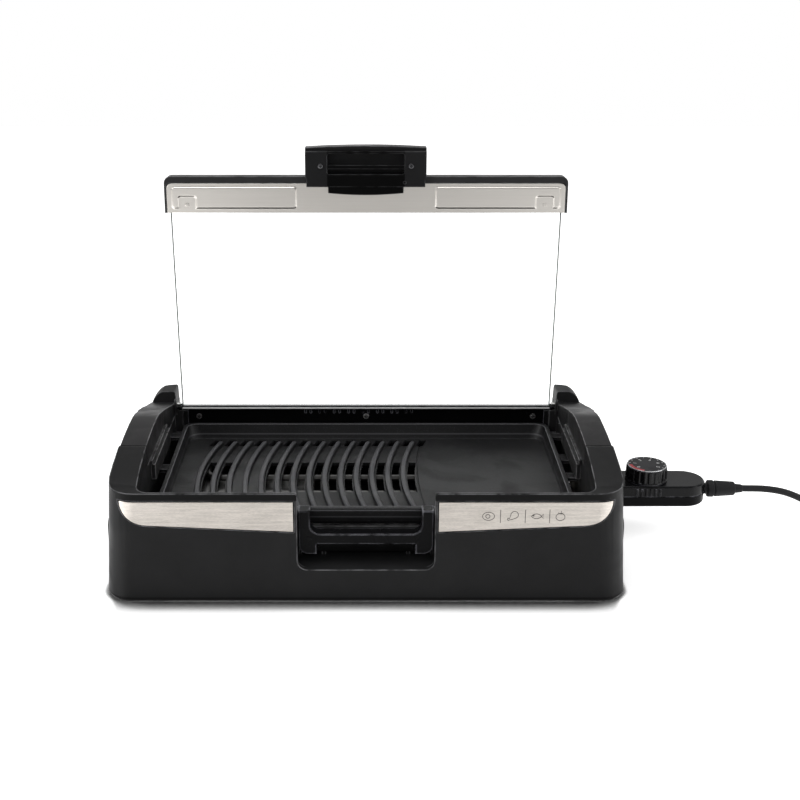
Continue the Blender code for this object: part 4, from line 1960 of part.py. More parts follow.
def build():
    clear_scene()
    plastic = material("black plastic", (0.018, 0.018, 0.020), 0.55)
    grey = material("dark grey plastic", (0.050, 0.050, 0.052), 0.60)
    gloss = material("glossy black plastic", (0.010, 0.010, 0.011), 0.22)
    cast = material("coated cast aluminium", (0.030, 0.030, 0.031), 0.45, 0.3)
    trim = material("brushed steel", (0.62, 0.58, 0.52), 0.32, 1.0)
    steel = material("steel", (0.55, 0.55, 0.54), 0.35, 1.0)
    sheath = material("heating rod", (0.16, 0.15, 0.14), 0.45, 1.0)
    brass = material("brass", (0.60, 0.45, 0.18), 0.35, 1.0)
    ceramic = material("insulating block", (0.55, 0.50, 0.42), 0.70)
    glass = material("clear glass", (0.90, 0.95, 0.94), 0.04, 0.0, 0.25)
    rubber = material("rubber", (0.022, 0.022, 0.023), 0.80)
    print_ring = material("dial print", (0.55, 0.55, 0.55), 0.40, 0.4)

    root = empty("grill_root", (-ORIGIN_X, 0.0, 0.0))
    fixed = [
        make_base_shell(plastic),
        make_grill_plate(cast),
        make_element(sheath),
        make_terminal_block(ceramic),
        make_reflector(steel),
        make_tray(gloss),
        make_tray_grip(gloss),
        make_rear_panel(plastic),
    ]
    for name, side in SIDES:
        fixed.append(make_handle_cover(f"handle_cover_{name}", side, grey))
        fixed.append(make_rear_cap(f"rear_cap_{name}", side, plastic))
        fixed.append(make_guard(f"side_ledge_{name}", side, plastic))
        fixed.append(make_trim(f"trim_plate_{name}", side, trim))
        fixed.append(make_bracket(f"hinge_bracket_{name}", side, plastic))
        fixed.append(make_hinge_pin(f"hinge_pin_{name}", side, steel))
        for row, place in zip(("front", "rear"), foot_places(side)):
            fixed.append(make_foot(f"foot_{row}_{name}", place, rubber))
    for name, y in terminal_places():
        fixed.append(make_terminal_pin(f"terminal_pin_{name}", y, steel))
    for name, place in zip(("left", "middle", "right"), panel_screw_places()):
        fixed.append(make_panel_screw(f"panel_screw_{name}", place, steel))
    attach(root, *fixed)

    lid = empty("lid_pivot", (0.0, HINGE_Y, HINGE_HEIGHT), -LID_LEAN)
    attach(root, lid)
    attach(lid, make_hinge_bar(plastic), make_glass(glass), make_rail(plastic))
    attach(lid, make_inner_plate(steel), make_handle_shell(plastic), make_handle_face(plastic))
    for name, side in SIDES:
        attach(lid, make_lid_screw(f"lid_screw_{name}", side, steel))
        attach(lid, make_handle_screw(f"handle_screw_{name}", side, steel))

    thermostat = empty("thermostat_slide", (0.0, 0.0, 0.0))
    attach(root, thermostat)
    attach(thermostat, make_housing_half("thermostat_top", 1, gloss))
    attach(thermostat, make_housing_half("thermostat_bottom", -1, gloss))
    attach(thermostat, make_nose(gloss), make_probe(steel), make_relief(rubber))
    for name, y in terminal_places():
        attach(thermostat, make_sleeve(f"contact_sleeve_{name}", y, brass))
    knob_pivot = empty("knob_pivot", (KNOB_X, THERMOSTAT_Y, KNOB_BOTTOM))
    attach(thermostat, knob_pivot)
    attach(knob_pivot, make_knob(gloss), make_dial(print_ring), make_shaft(steel))

    points, heading = coil_points()
    print(f"least gap between the coil's turns: {1000 * least_gap(points):.2f} mm")
    route = smooth_route(CORD_ROUTE, ROUTE_SAMPLES)
    attach(thermostat, tube("mains_cord", route, CORD_RADIUS, 2, rubber))
    attach(thermostat, tube("cord_coil", points, CORD_RADIUS, 1, rubber))
    attach(thermostat, make_plug(points[-1], heading, rubber, steel))
    for name, _ in SIDES:
        attach(thermostat, bpy.data.objects[f"plug_pin_{name}"])


build()
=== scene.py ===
import json
import math
from functools import partial

import bmesh
import bpy
from mathutils import Matrix, Vector
from mathutils.bvhtree import BVHTree

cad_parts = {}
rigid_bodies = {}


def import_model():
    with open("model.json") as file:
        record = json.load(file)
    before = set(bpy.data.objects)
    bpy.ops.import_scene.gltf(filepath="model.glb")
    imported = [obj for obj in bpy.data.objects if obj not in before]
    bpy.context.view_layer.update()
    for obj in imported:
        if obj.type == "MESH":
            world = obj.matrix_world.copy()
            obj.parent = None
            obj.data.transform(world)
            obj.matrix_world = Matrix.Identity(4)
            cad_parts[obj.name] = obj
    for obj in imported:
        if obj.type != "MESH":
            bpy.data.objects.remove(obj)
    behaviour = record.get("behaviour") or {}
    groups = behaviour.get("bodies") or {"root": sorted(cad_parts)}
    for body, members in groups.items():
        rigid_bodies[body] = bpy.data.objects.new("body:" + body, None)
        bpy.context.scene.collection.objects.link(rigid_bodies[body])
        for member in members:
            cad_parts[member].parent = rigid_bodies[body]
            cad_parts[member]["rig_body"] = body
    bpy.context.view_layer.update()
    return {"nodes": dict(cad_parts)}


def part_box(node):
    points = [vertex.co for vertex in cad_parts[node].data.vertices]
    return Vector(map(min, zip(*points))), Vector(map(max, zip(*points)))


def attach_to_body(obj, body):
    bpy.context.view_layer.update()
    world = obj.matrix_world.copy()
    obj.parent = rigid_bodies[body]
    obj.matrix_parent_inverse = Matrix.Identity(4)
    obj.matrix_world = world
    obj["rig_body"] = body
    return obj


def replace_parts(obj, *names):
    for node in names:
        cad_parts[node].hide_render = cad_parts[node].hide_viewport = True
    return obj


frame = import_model()
# part.py works from the middle of the base, and the frame from the middle of the whole part
BASE_MIDDLE_X = (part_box("base_shell")[0].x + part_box("base_shell")[1].x) / 2

# Camera: the photograph's place, lens and tilt
CAMERA_LENS = 57.31
CAMERA_HEIGHT = 0.5851
CAMERA_DISTANCE = 1.2087
CAMERA_TILT = math.radians(70)
CAMERA_SHIFT = 0.0425

# Mains cord, as part.py routes it
CORD_DIAMETER = 0.007
CORD_FLOOR = 0.0038
COIL_START = Vector((0.5350, 0.0420, CORD_FLOOR))
CORD_ROUTE = (
    (0.3856, 0.0056, 0.0453),
    (0.3926, 0.0056, 0.0453),
    (0.4150, 0.0058, 0.0446),
    (0.4360, 0.0070, 0.0405),
    (0.4560, 0.0100, 0.0315),
    (0.4740, 0.0150, 0.0195),
    (0.4910, 0.0225, 0.0090),
    (0.5080, 0.0320, 0.0045),
    (0.5200, 0.0390, 0.0038),
    (0.5277, 0.0420, 0.0038),
    (0.5347, 0.0420, 0.0038),
)
ROUTE_SAMPLES = 6
COIL_OUTER_RADIUS = 0.0470
COIL_PITCH = 0.0077
COIL_TURNS_IN = 2.25
COIL_TURNS_OUT = 2.5
COIL_POINTS_PER_TURN = 24
COIL_DIP = 0.0024
COIL_TAIL = 0.0340

# Grill plate: the ribs' crowns, as part.py has them
RIB_TOP = 0.0700

# Darker zones: painted shade on the casing's front lip above the trim plates and on its foot, the covers'
# joints, painted shade on the drip tray below its band, and the handle's middle.
# The last two levels lie past everything
LIP_HEIGHTS = (0.1020, 0.1074)
LIP_DEPTHS = (-0.1600, -0.1440)
FRONT_JOINT = (-0.0762, -0.0731)
REAR_JOINT = (0.0240, 0.0266)
FOOT_SHADE = 0.0045
PAN_LEVEL = 0.0560
HANDLE_MIDDLE_HALF = 0.0402
JOINT_FOOT = 0.1040
BELOW_ALL = -0.1
ABOVE_ALL = 0.2

# Studio: what the floor and the world give to gloss and to the camera, and the reach of the contact shade
WHITE = (1.0, 1.0, 1.0)
FLOOR_LIFT = 0.42
FLOOR_LIFT_NEAR = 0.62
FLOOR_LIFT_FAR = 0.80
CONTACT_REACH = 0.028
CONTACT_BESIDE = 0.006
GLOW_LEFT = 0.50
GLOW_RIGHT = 0.35
DIM_FRONT = 0.37
WORLD_LEVEL = 0.42
GLOSS_FRONT = 0.30
GLOSS_HIGH = 0.5

# Mesh work
WELD = 0.00001
FLAT_ANGLE = math.radians(1.0)
SHARP_ANGLE = math.radians(34)
PRINT_LIFT = 0.00004


def to_frame(point):
    """A point of part.py's model, which is centred on the base, in the frame."""
    return Vector(point) + Vector((BASE_MIDDLE_X, 0.0, 0.0))


def add_object(name, data):
    piece = bpy.data.objects.new(name, data)
    bpy.context.scene.collection.objects.link(piece)
    return piece


def make_camera():
    camera = add_object("camera", bpy.data.cameras.new("camera"))
    camera.data.lens = CAMERA_LENS
    camera.data.shift_x = CAMERA_SHIFT
    camera.location = (BASE_MIDDLE_X, -CAMERA_DISTANCE, CAMERA_HEIGHT)
    camera.rotation_euler = (CAMERA_TILT, 0.0, 0.0)
    camera.data.clip_start = 0.05
    camera.data.clip_end = 60.0
    bpy.context.scene.camera = camera


def smooth_route(points, samples):
    """Points on a smooth curve through the route's points."""
    known = [Vector(point) for point in points]
    known = [2 * known[0] - known[1]] + known + [2 * known[-1] - known[-2]]
    path = []
    for before, start, end, after in zip(known, known[1:], known[2:], known[3:]):
        for i in range(samples):
            t = i / samples
            bend = 2 * before - 5 * start + 4 * end - after
            twist = 3 * start - before - 3 * end + after
            path.append((2 * start + (end - before) * t + bend * t**2 + twist * t**3) / 2)
    return path


def coil_points():
    """The coil's middle line: in on the floor, up in the half turn at the inside, out again."""
    centre = COIL_START + Vector((CORD_DIAMETER, COIL_OUTER_RADIUS, 0.0))
    inward = round(COIL_TURNS_IN * COIL_POINTS_PER_TURN)
    outward = round(COIL_TURNS_OUT * COIL_POINTS_PER_TURN)
    climb = COIL_POINTS_PER_TURN // 2
    inner_radius = COIL_OUTER_RADIUS - COIL_PITCH * COIL_TURNS_IN
    points = [COIL_START]
    for i in range(inward + climb + outward + 1):
        turn = 2 * math.pi * i / COIL_POINTS_PER_TURN - math.pi / 2
        if i <= inward:
            radius, level = COIL_OUTER_RADIUS - COIL_PITCH * i / COIL_POINTS_PER_TURN, 0.0
        elif i < inward + climb:
            share = (i - inward) / climb
            radius = inner_radius - COIL_DIP * math.sin(math.pi * share)
            level = 0.5 - 0.5 * math.cos(math.pi * share)
        else:
            out = (i - inward - climb) / COIL_POINTS_PER_TURN
            radius, level = inner_radius + COIL_PITCH * out, 1.0
        offset = Vector((radius * math.cos(turn), radius * math.sin(turn), COIL_PITCH * level))
        points.append(centre + offset)
    tangent = 2 * math.pi * (inward + climb + outward) / COIL_POINTS_PER_TURN
    heading = Vector((math.cos(tangent), math.sin(tangent), 0.0))
    return points + [points[-1] + heading * COIL_TAIL]


def make_cord():
    """The mains lead as one curve, from the strain relief to the plug."""
    points = [to_frame(point) for point in smooth_route(CORD_ROUTE, ROUTE_SAMPLES) + coil_points()]
    curve = bpy.data.curves.new("mains_lead", "CURVE")
    curve.dimensions = "3D"
    curve.bevel_depth = CORD_DIAMETER / 2
    curve.bevel_resolution = 5
    curve.use_fill_caps = True
    line = curve.splines.new("POLY")
    line.points.add(len(points) - 1)
    for place, point in zip(line.points, points):
        place.co = (*point, 1.0)
    line.use_smooth = True
    length = sum((b - a).length for a, b in zip(points, points[1:]))
    return add_object("mains_lead", curve), points[0], length


make_camera()
mains_lead, cord_exit, cord_length = make_cord()


# Shader nodes


def add(tree, kind, inputs=None, **settings):
    """A new node. Each input is linked if it is given as a socket, and set otherwise."""
    node = tree.nodes.new(kind)
    for name, value in settings.items():
        setattr(node, name, value)
    for key, value in (inputs or {}).items():
        if isinstance(value, bpy.types.NodeSocket):
            tree.links.new(value, node.inputs[key])
        else:
            node.inputs[key].default_value = value
    return node


def maths(operation, tree, first, second=0.0):
    """The result of a Math node."""
    return add(tree, "ShaderNodeMath", {0: first, 1: second}, operation=operation).outputs[0]


def vectors(operation, tree, first, second):
    return add(tree, "ShaderNodeVectorMath", {0: first, 1: second}, operation=operation).outputs[0]


times, plus, minus, over, larger = (
    partial(maths, operation) for operation in ("MULTIPLY", "ADD", "SUBTRACT", "DIVIDE", "MAXIMUM")
)


def between(tree, value, low, high, to_low=0.0, to_high=1.0):
    """value, moved from the range low to high into the range to_low to to_high."""
    inputs = {"Value": value, "From Min": low, "From Max": high, "To Min": to_low, "To Max": to_high}
    return add(tree, "ShaderNodeMapRange", inputs, interpolation_type="SMOOTHSTEP").outputs[0]


def mixed(tree, factor, first, second):
    """A colour between two colours."""
    return add(tree, "ShaderNodeMix", {0: factor, 6: first, 7: second}, data_type="RGBA").outputs[2]


def axes(tree, place):
    """A vector's X, Y and Z, by name."""
    return add(tree, "ShaderNodeSeparateXYZ", {0: place}).outputs


def combined(tree, x=0.0, y=0.0, z=0.0):
    return add(tree, "ShaderNodeCombineXYZ", {"X": x, "Y": y, "Z": z}).outputs[0]


def noise(tree, place, scale, detail, **others):
    inputs = {"Vector": place, "Scale": scale, "Detail": detail, **others}
    return add(tree, "ShaderNodeTexNoise", inputs).outputs[0]


NUMBER, PLACE = "NodeSocketFloat", "NodeSocketVector"
GEOMETRY, FINISH = "NodeSocketGeometry", "NodeSocketMaterial"


def new_tree(name, inputs, outputs, kind="ShaderNodeTree"):
    """A node group: (group, its inputs as sockets, its outputs as sockets).

    Each input is given by its value, or by the kind of its socket.
    """
    group = bpy.data.node_groups.new(name, kind)
    for label, value in inputs.items():
        if isinstance(value, str):
            group.interface.new_socket(label, in_out="INPUT", socket_type=value)
        else:
            number = "NodeSocketInt" if isinstance(value, int) else NUMBER
            group.interface.new_socket(label, in_out="INPUT", socket_type=number).default_value = value
    for label, socket_kind in outputs.items():
        group.interface.new_socket(label, in_out="OUTPUT", socket_type=socket_kind)
    start = group.nodes.new("NodeGroupInput")
    end = group.nodes.new("NodeGroupOutput")
    return group, start.outputs, end.inputs


def given_out(group, end, **results):
    """The group with its results linked to its outputs."""
    for label, socket in results.items():
        group.links.new(socket, end[label])
    return group


def soft_edge_group():
    """Normals rounded over at the edges, and a mask of the edges that stand out.

    An edge shows where the solid's own inside is close all round, so rounded edges count too.
    """
    inputs = {"Radius": 0.0006, "Reach": 0.0015}
    group, given, end = new_tree("rounded edges", inputs, {"Normal": PLACE, "Edge": NUMBER})
    rounded = add(group, "ShaderNodeBevel", {"Radius": given["Radius"]}, samples=6).outputs[0]
    inward = {"Distance": given["Reach"]}
    solid = add(group, "ShaderNodeAmbientOcclusion", inward, samples=8, inside=True, only_local=True)
    return given_out(group, end, Normal=rounded, Edge=between(group, solid.outputs["AO"], 0.86, 0.66))


def grain_group():
    """Fine even grain of a spark-eroded mould, with a slow drift of shade."""
    inputs = {"Vector": PLACE, "Grain": 0.0006, "Drift": 0.04}
    group, given, end = new_tree("mould grain", inputs, {"Height": NUMBER, "Shade": NUMBER})
    place = given["Vector"]
    fine = over(group, 1.0, given["Grain"])
    slow = over(group, 1.0, given["Drift"])
    pits = add(group, "ShaderNodeTexVoronoi", {"Vector": place, "Scale": fine}, feature="SMOOTH_F1")
    cloud = noise(group, place, fine, 3.0)
    height = times(group, pits.outputs["Distance"], cloud)
    drift = noise(group, place, slow, 4.0)
    shade = plus(group, times(group, cloud, 0.5), times(group, drift, 0.5))
    return given_out(group, end, Height=height, Shade=between(group, shade, 0.3, 0.7))


def handling_group():
    """Soft patches where hands and cloths have changed the shine."""
    group, given, end = new_tree("handling marks", {"Vector": PLACE, "Patch": 0.03}, {"Mask": NUMBER})
    scale = over(group, 1.0, given["Patch"])
    cloud = noise(group, given["Vector"], scale, 5.0, Distortion=0.6)
    return given_out(group, end, Mask=between(group, cloud, 0.35, 0.68))


def edge_wear_and_highlight_group():
    """The share of an edge that is painted bright, partly as rubbed wear and mostly as a painted highlight,
    broken up along its length.
    """
    inputs = {"Vector": PLACE, "Edge": 0.0, "Patch": 0.012, "Amount": 0.5}
    group, given, end = new_tree("edge wear and highlight", inputs, {"Mask": NUMBER})
    cloud = noise(group, given["Vector"], over(group, 1.0, given["Patch"]), 6.0)
    broken = times(group, given["Edge"], between(group, cloud, 0.3, 0.6))
    return given_out(group, end, Mask=times(group, broken, given["Amount"]))


def brushed_group():
    """Long fine lines along X, as a belt leaves them on sheet steel."""
    inputs = {"Vector": PLACE, "Line": 0.00025, "Run": 0.03}
    group, given, end = new_tree("brushed lines", inputs, {"Height": NUMBER, "Tone": NUMBER})
    across = over(group, 1.0, given["Line"])
    along = over(group, 1.0, given["Run"])
    lines = vectors("MULTIPLY", group, given["Vector"], combined(group, along, across, across))
    fine = noise(group, lines, 1.0, 4.0, Roughness=0.7)
    broad = noise(group, lines, 0.12, 2.0)
    tone = plus(group, times(group, fine, 0.65), times(group, broad, 0.35))
    return given_out(group, end, Height=fine, Tone=between(group, tone, 0.35, 0.65))


def speck_group():
    """Small pale specks spread over a stone-look coating."""
    inputs = {"Vector": PLACE, "Speck": 0.0009, "Cover": 0.3}
    group, given, end = new_tree("coating specks", inputs, {"Mask": NUMBER, "Height": NUMBER})
    place = given["Vector"]
    scale = over(group, 1.0, given["Speck"])
    cells = add(group, "ShaderNodeTexVoronoi", {"Vector": place, "Scale": scale})
    cloud = noise(group, place, scale, 2.0)
    picked = add(group, "ShaderNodeSeparateColor", {0: cells.outputs["Color"]}).outputs[0]
    chosen = maths("LESS_THAN", group, picked, given["Cover"])
    spot = between(group, cells.outputs["Distance"], 0.45, 0.2)
    return given_out(group, end, Mask=times(group, chosen, spot), Height=cloud)


ROUNDED = soft_edge_group()
GRAIN = grain_group()
HANDLING = handling_group()
EDGE_WEAR_AND_HIGHLIGHT = edge_wear_and_highlight_group()
BRUSHED = brushed_group()
SPECKS = speck_group()


def placed(tree, group, place=None, **inputs):
    """A group's outputs in this material."""
    if place:
        inputs["Vector"] = place
    return add(tree, "ShaderNodeGroup", inputs, node_tree=group).outputs


# Materials


def shaded(colour, factor):
    return tuple(min(1.0, part * factor) for part in colour[:3]) + (1.0,)


def new_material(name, roughness, metallic=0.0, specular=0.5):
    """A material with its Principled shader: (material, its tree, the shader, Object coordinates)."""
    material = bpy.data.materials.new(name)
    material.use_nodes = True
    tree = material.node_tree
    tree.nodes.clear()
    shine = {"Roughness": roughness, "Metallic": metallic, "Specular IOR Level": specular}
    shader = add(tree, "ShaderNodeBsdfPrincipled", {**shine, "Coat Roughness": 0.08})
    add(tree, "ShaderNodeOutputMaterial", {"Surface": shader.outputs[0]})
    return material, tree, shader, add(tree, "ShaderNodeTexCoord").outputs["Object"]


def dressed(made, colour, mask, roughness, spread, height=None, depth=0.0, normal=None):
    """The material with its colour, its varied roughness and its relief of this depth in metres."""
    material, tree, shader, _ = made
    tree.links.new(colour, shader.inputs["Base Color"])
    value = between(tree, mask, 0.0, 1.0, roughness - spread, roughness + spread)
    tree.links.new(value, shader.inputs["Roughness"])
    if height:
        relief = {"Strength": 1.0, "Distance": depth, "Height": height, "Normal": normal}
        tree.links.new(add(tree, "ShaderNodeBump", relief).outputs[0], shader.inputs["Normal"])
    return material


def moulded(
    name,
    colour,
    roughness,
    specular=0.12,
    edge_highlight=11.0,
    reach=0.0014,
    depth=0.00002,
    grain=0.0006,
    edge_radius=0.0011,
    zone=None,
    zone_light=0.2,
    zone_edges=0.0,
    zone_edge_radius=None,
):
    """A moulded plastic or rubber: grain, drift of shade, patches rubbed by hands, and edges painted paler,
    mostly as a painted highlight and partly as rubbed wear.

    A zone is a function that gives a mask, where the colour and the edges' radius are others.
    """
    made = new_material(name, roughness, specular=specular)
    _, tree, _, coords = made
    in_zone = zone(tree, coords) if zone else 0.0
    radius = between(tree, in_zone, 0.0, 1.0, edge_radius, zone_edge_radius or edge_radius)
    rounded = placed(tree, ROUNDED, Radius=radius, Reach=reach)
    skin = placed(tree, GRAIN, coords, Grain=grain)
    marks = placed(tree, HANDLING, coords, Patch=0.035)
    worn_and_lit = placed(tree, EDGE_WEAR_AND_HIGHLIGHT, coords, Edge=rounded["Edge"], Amount=0.7)
    body = mixed(tree, skin["Shade"], shaded(colour, 0.85), shaded(colour, 1.15))
    body = mixed(tree, in_zone, body, shaded(colour, zone_light))
    # Paler edges: a painted highlight of the rounded edges with some rubbed wear, less or none inside the
    # zone
    pale = times(tree, worn_and_lit["Mask"], between(tree, in_zone, 0.6, 0.9, 1.0, zone_edges))
    body = mixed(tree, pale, body, shaded(colour, edge_highlight))
    return dressed(made, body, marks["Mask"], roughness, 0.06, skin["Height"], depth, rounded["Normal"])


def band(tree, value, start, end, soft=0.0002):
    """1 between two values and 0 outside them."""
    return times(tree, between(tree, value, start - soft, start), between(tree, value, end + soft, end))


def casing_shade_and_joints(tree, coords):
    """The mask of the casing's painted shade, on its lip above the trim plates, on its foot and, by half, on
    its tops, and of its dark joints.
    """
    place = axes(tree, coords)
    lip = times(tree, band(tree, place["Z"], *LIP_HEIGHTS), band(tree, place["Y"], *LIP_DEPTHS))
    joint = times(tree, band(tree, place["Z"], JOINT_FOOT, ABOVE_ALL), band(tree, place["Y"], *FRONT_JOINT))
    tops = times(tree, band(tree, place["Z"], LIP_HEIGHTS[1], ABOVE_ALL), 0.5)
    foot = band(tree, place["Z"], BELOW_ALL, FOOT_SHADE)
    return larger(tree, larger(tree, lip, joint), larger(tree, tops, foot))


def cover_joints(tree, coords):
    """The mask of the covers' ends, where their joints lie."""
    along = axes(tree, coords)["Y"]
    return larger(tree, band(tree, along, *FRONT_JOINT), band(tree, along, *REAR_JOINT))


def pan_painted_shade(tree, coords):
    """The mask of the drip tray's lower part, painted darker as the shade inside the casing."""
    return band(tree, axes(tree, coords)["Z"], BELOW_ALL, PAN_LEVEL)


def handle_middle(tree, coords):
    """The mask of the handle's glossy middle, between its two cheeks."""
    aside = maths("ABSOLUTE", tree, minus(tree, axes(tree, coords)["X"], BASE_MIDDLE_X))
    return between(tree, aside, HANDLE_MIDDLE_HALF + 0.0002, HANDLE_MIDDLE_HALF - 0.0002)


def brushed_sheet(name, colour, roughness, spread=0.05, run=0.03, depth=0.000006, contrast=0.07):
    """Brushed sheet steel with its lines along X, smudged a little, its cut edges painted bright as a painted
    highlight and as wear.
    """
    made = new_material(name, roughness, metallic=1.0)
    _, tree, _, coords = made
    rounded = placed(tree, ROUNDED, Radius=0.0009, Reach=0.0004)
    lines = placed(tree, BRUSHED, coords, Line=0.00022, Run=run)
    marks = placed(tree, HANDLING, coords, Patch=0.05)
    worn_and_lit = placed(tree, EDGE_WEAR_AND_HIGHLIGHT, coords, Edge=rounded["Edge"], Amount=0.8)
    body = mixed(tree, lines["Tone"], shaded(colour, 1 - contrast), shaded(colour, 1 + contrast))
    # Cut edges painted brighter: a painted highlight, with some wear
    body = mixed(tree, worn_and_lit["Mask"], body, shaded(colour, 1.35))
    return dressed(made, body, marks["Mask"], roughness, spread, lines["Height"], depth, rounded["Normal"])


def plain_metal(name, colour, roughness, grain=0.0005, dark=0.75):
    """Turned, drawn or cast metal with a slow change of tone, such as heat leaves on it."""
    made = new_material(name, roughness, metallic=1.0)
    _, tree, _, coords = made
    rounded = placed(tree, ROUNDED, Radius=0.0003, Reach=0.0005)
    skin = placed(tree, GRAIN, coords, Grain=grain, Drift=0.02)
    marks = placed(tree, HANDLING, coords, Patch=0.01)
    worn_and_lit = placed(tree, EDGE_WEAR_AND_HIGHLIGHT, coords, Edge=rounded["Edge"], Patch=0.004, Amount=0.7)
    body = mixed(tree, skin["Shade"], shaded(colour, dark), shaded(colour, 1.1))
    # Edges painted brighter: a painted highlight, with some rubbed wear
    body = mixed(tree, worn_and_lit["Mask"], body, shaded(colour, 1.5))
    return dressed(made, body, marks["Mask"], roughness, 0.08, skin["Height"], 0.000008, rounded["Normal"])


def recessed_screw(name, colour, roughness):
    """Plated screw steel, darkened in the cross recess by painted shade."""
    material = plain_metal(name, colour, roughness)
    tree = material.node_tree
    base = next(node for node in tree.nodes if node.type == "BSDF_PRINCIPLED").inputs["Base Color"]
    # Painted shade: the recess darkened where it is closed in
    open_share = add(tree, "ShaderNodeAmbientOcclusion", {"Distance": 0.0016}, samples=8).outputs["AO"]
    unshaded = between(tree, open_share, 0.50, 0.95)
    tree.links.new(mixed(tree, unshaded, shaded(colour, 0.05), base.links[0].from_socket), base)
    return material


def coated_cast():
    """The plate's non-stick coating: near black, pebbled, with fine pale specks, and a painted highlight on
    its rib crowns and their edges.
    """
    colour, roughness = (0.0070, 0.0070, 0.0075), 0.50
    made = new_material("stone_coating", roughness, specular=0.27)
    _, tree, _, coords = made
    rounded = placed(tree, ROUNDED, Radius=0.0008, Reach=0.0012)
    specks = placed(tree, SPECKS, coords, Speck=0.0011, Cover=0.26)
    skin = placed(tree, GRAIN, coords, Grain=0.0009, Drift=0.05)
    marks = placed(tree, HANDLING, coords, Patch=0.05)
    body = mixed(tree, skin["Shade"], shaded(colour, 0.8), shaded(colour, 1.25))
    body = mixed(tree, times(tree, specks["Mask"], 0.5), body, shaded(colour, 5.5))
    height = axes(tree, coords)["Z"]
    # Painted highlight: the rib crowns painted lighter
    crown_highlight = between(tree, height, RIB_TOP - 0.0012, RIB_TOP - 0.0002)
    crown_highlight = times(tree, crown_highlight, between(tree, height, RIB_TOP + 0.0012, RIB_TOP + 0.0004))
    body = mixed(tree, times(tree, crown_highlight, 0.55), body, shaded(colour, 11.0))
    # Painted highlight: the crowns' edges painted brighter still
    raised = between(tree, height, RIB_TOP - 0.0032, RIB_TOP - 0.0022)
    body = mixed(tree, times(tree, times(tree, rounded["Edge"], raised), 0.9), body, shaded(colour, 24.0))
    pebbles = plus(tree, specks["Height"], skin["Height"])
    return dressed(made, body, marks["Mask"], roughness, 0.07, pebbles, 0.00005, rounded["Normal"])


def clear_glass():
    """Tempered clear glass, with faint wiping marks and a shadow as light as the real one."""
    made = new_material("tempered_glass", 0.01)
    _, tree, shader, coords = made
    shader.inputs["Transmission Weight"].default_value = 1.0
    shader.inputs["IOR"].default_value = 1.46
    marks = placed(tree, HANDLING, coords, Patch=0.06)["Mask"]
    body = mixed(tree, marks, (0.985, 0.993, 0.99, 1.0), (0.96, 0.975, 0.97, 1.0))
    clear = add(tree, "ShaderNodeBsdfTransparent", {"Color": (0.93, 0.95, 0.945, 1.0)}).outputs[0]
    path = add(tree, "ShaderNodeLightPath").outputs["Is Shadow Ray"]
    both = add(tree, "ShaderNodeMixShader", {0: path, 1: shader.outputs[0], 2: clear})
    tree.links.new(both.outputs[0], tree.nodes["Material Output"].inputs["Surface"])
    return dressed(made, body, marks, 0.012, 0.008)


def printed(name, colour, roughness=0.45):
    """Pad-printed ink: a solid colour that is a little uneven."""
    made = new_material(name, roughness)
    shade = placed(made[1], GRAIN, made[3], Grain=0.0002, Drift=0.004)["Shade"]
    body = mixed(made[1], shade, shaded(colour, 0.88), shaded(colour, 1.05))
    return dressed(made, body, shade, roughness, 0.05)


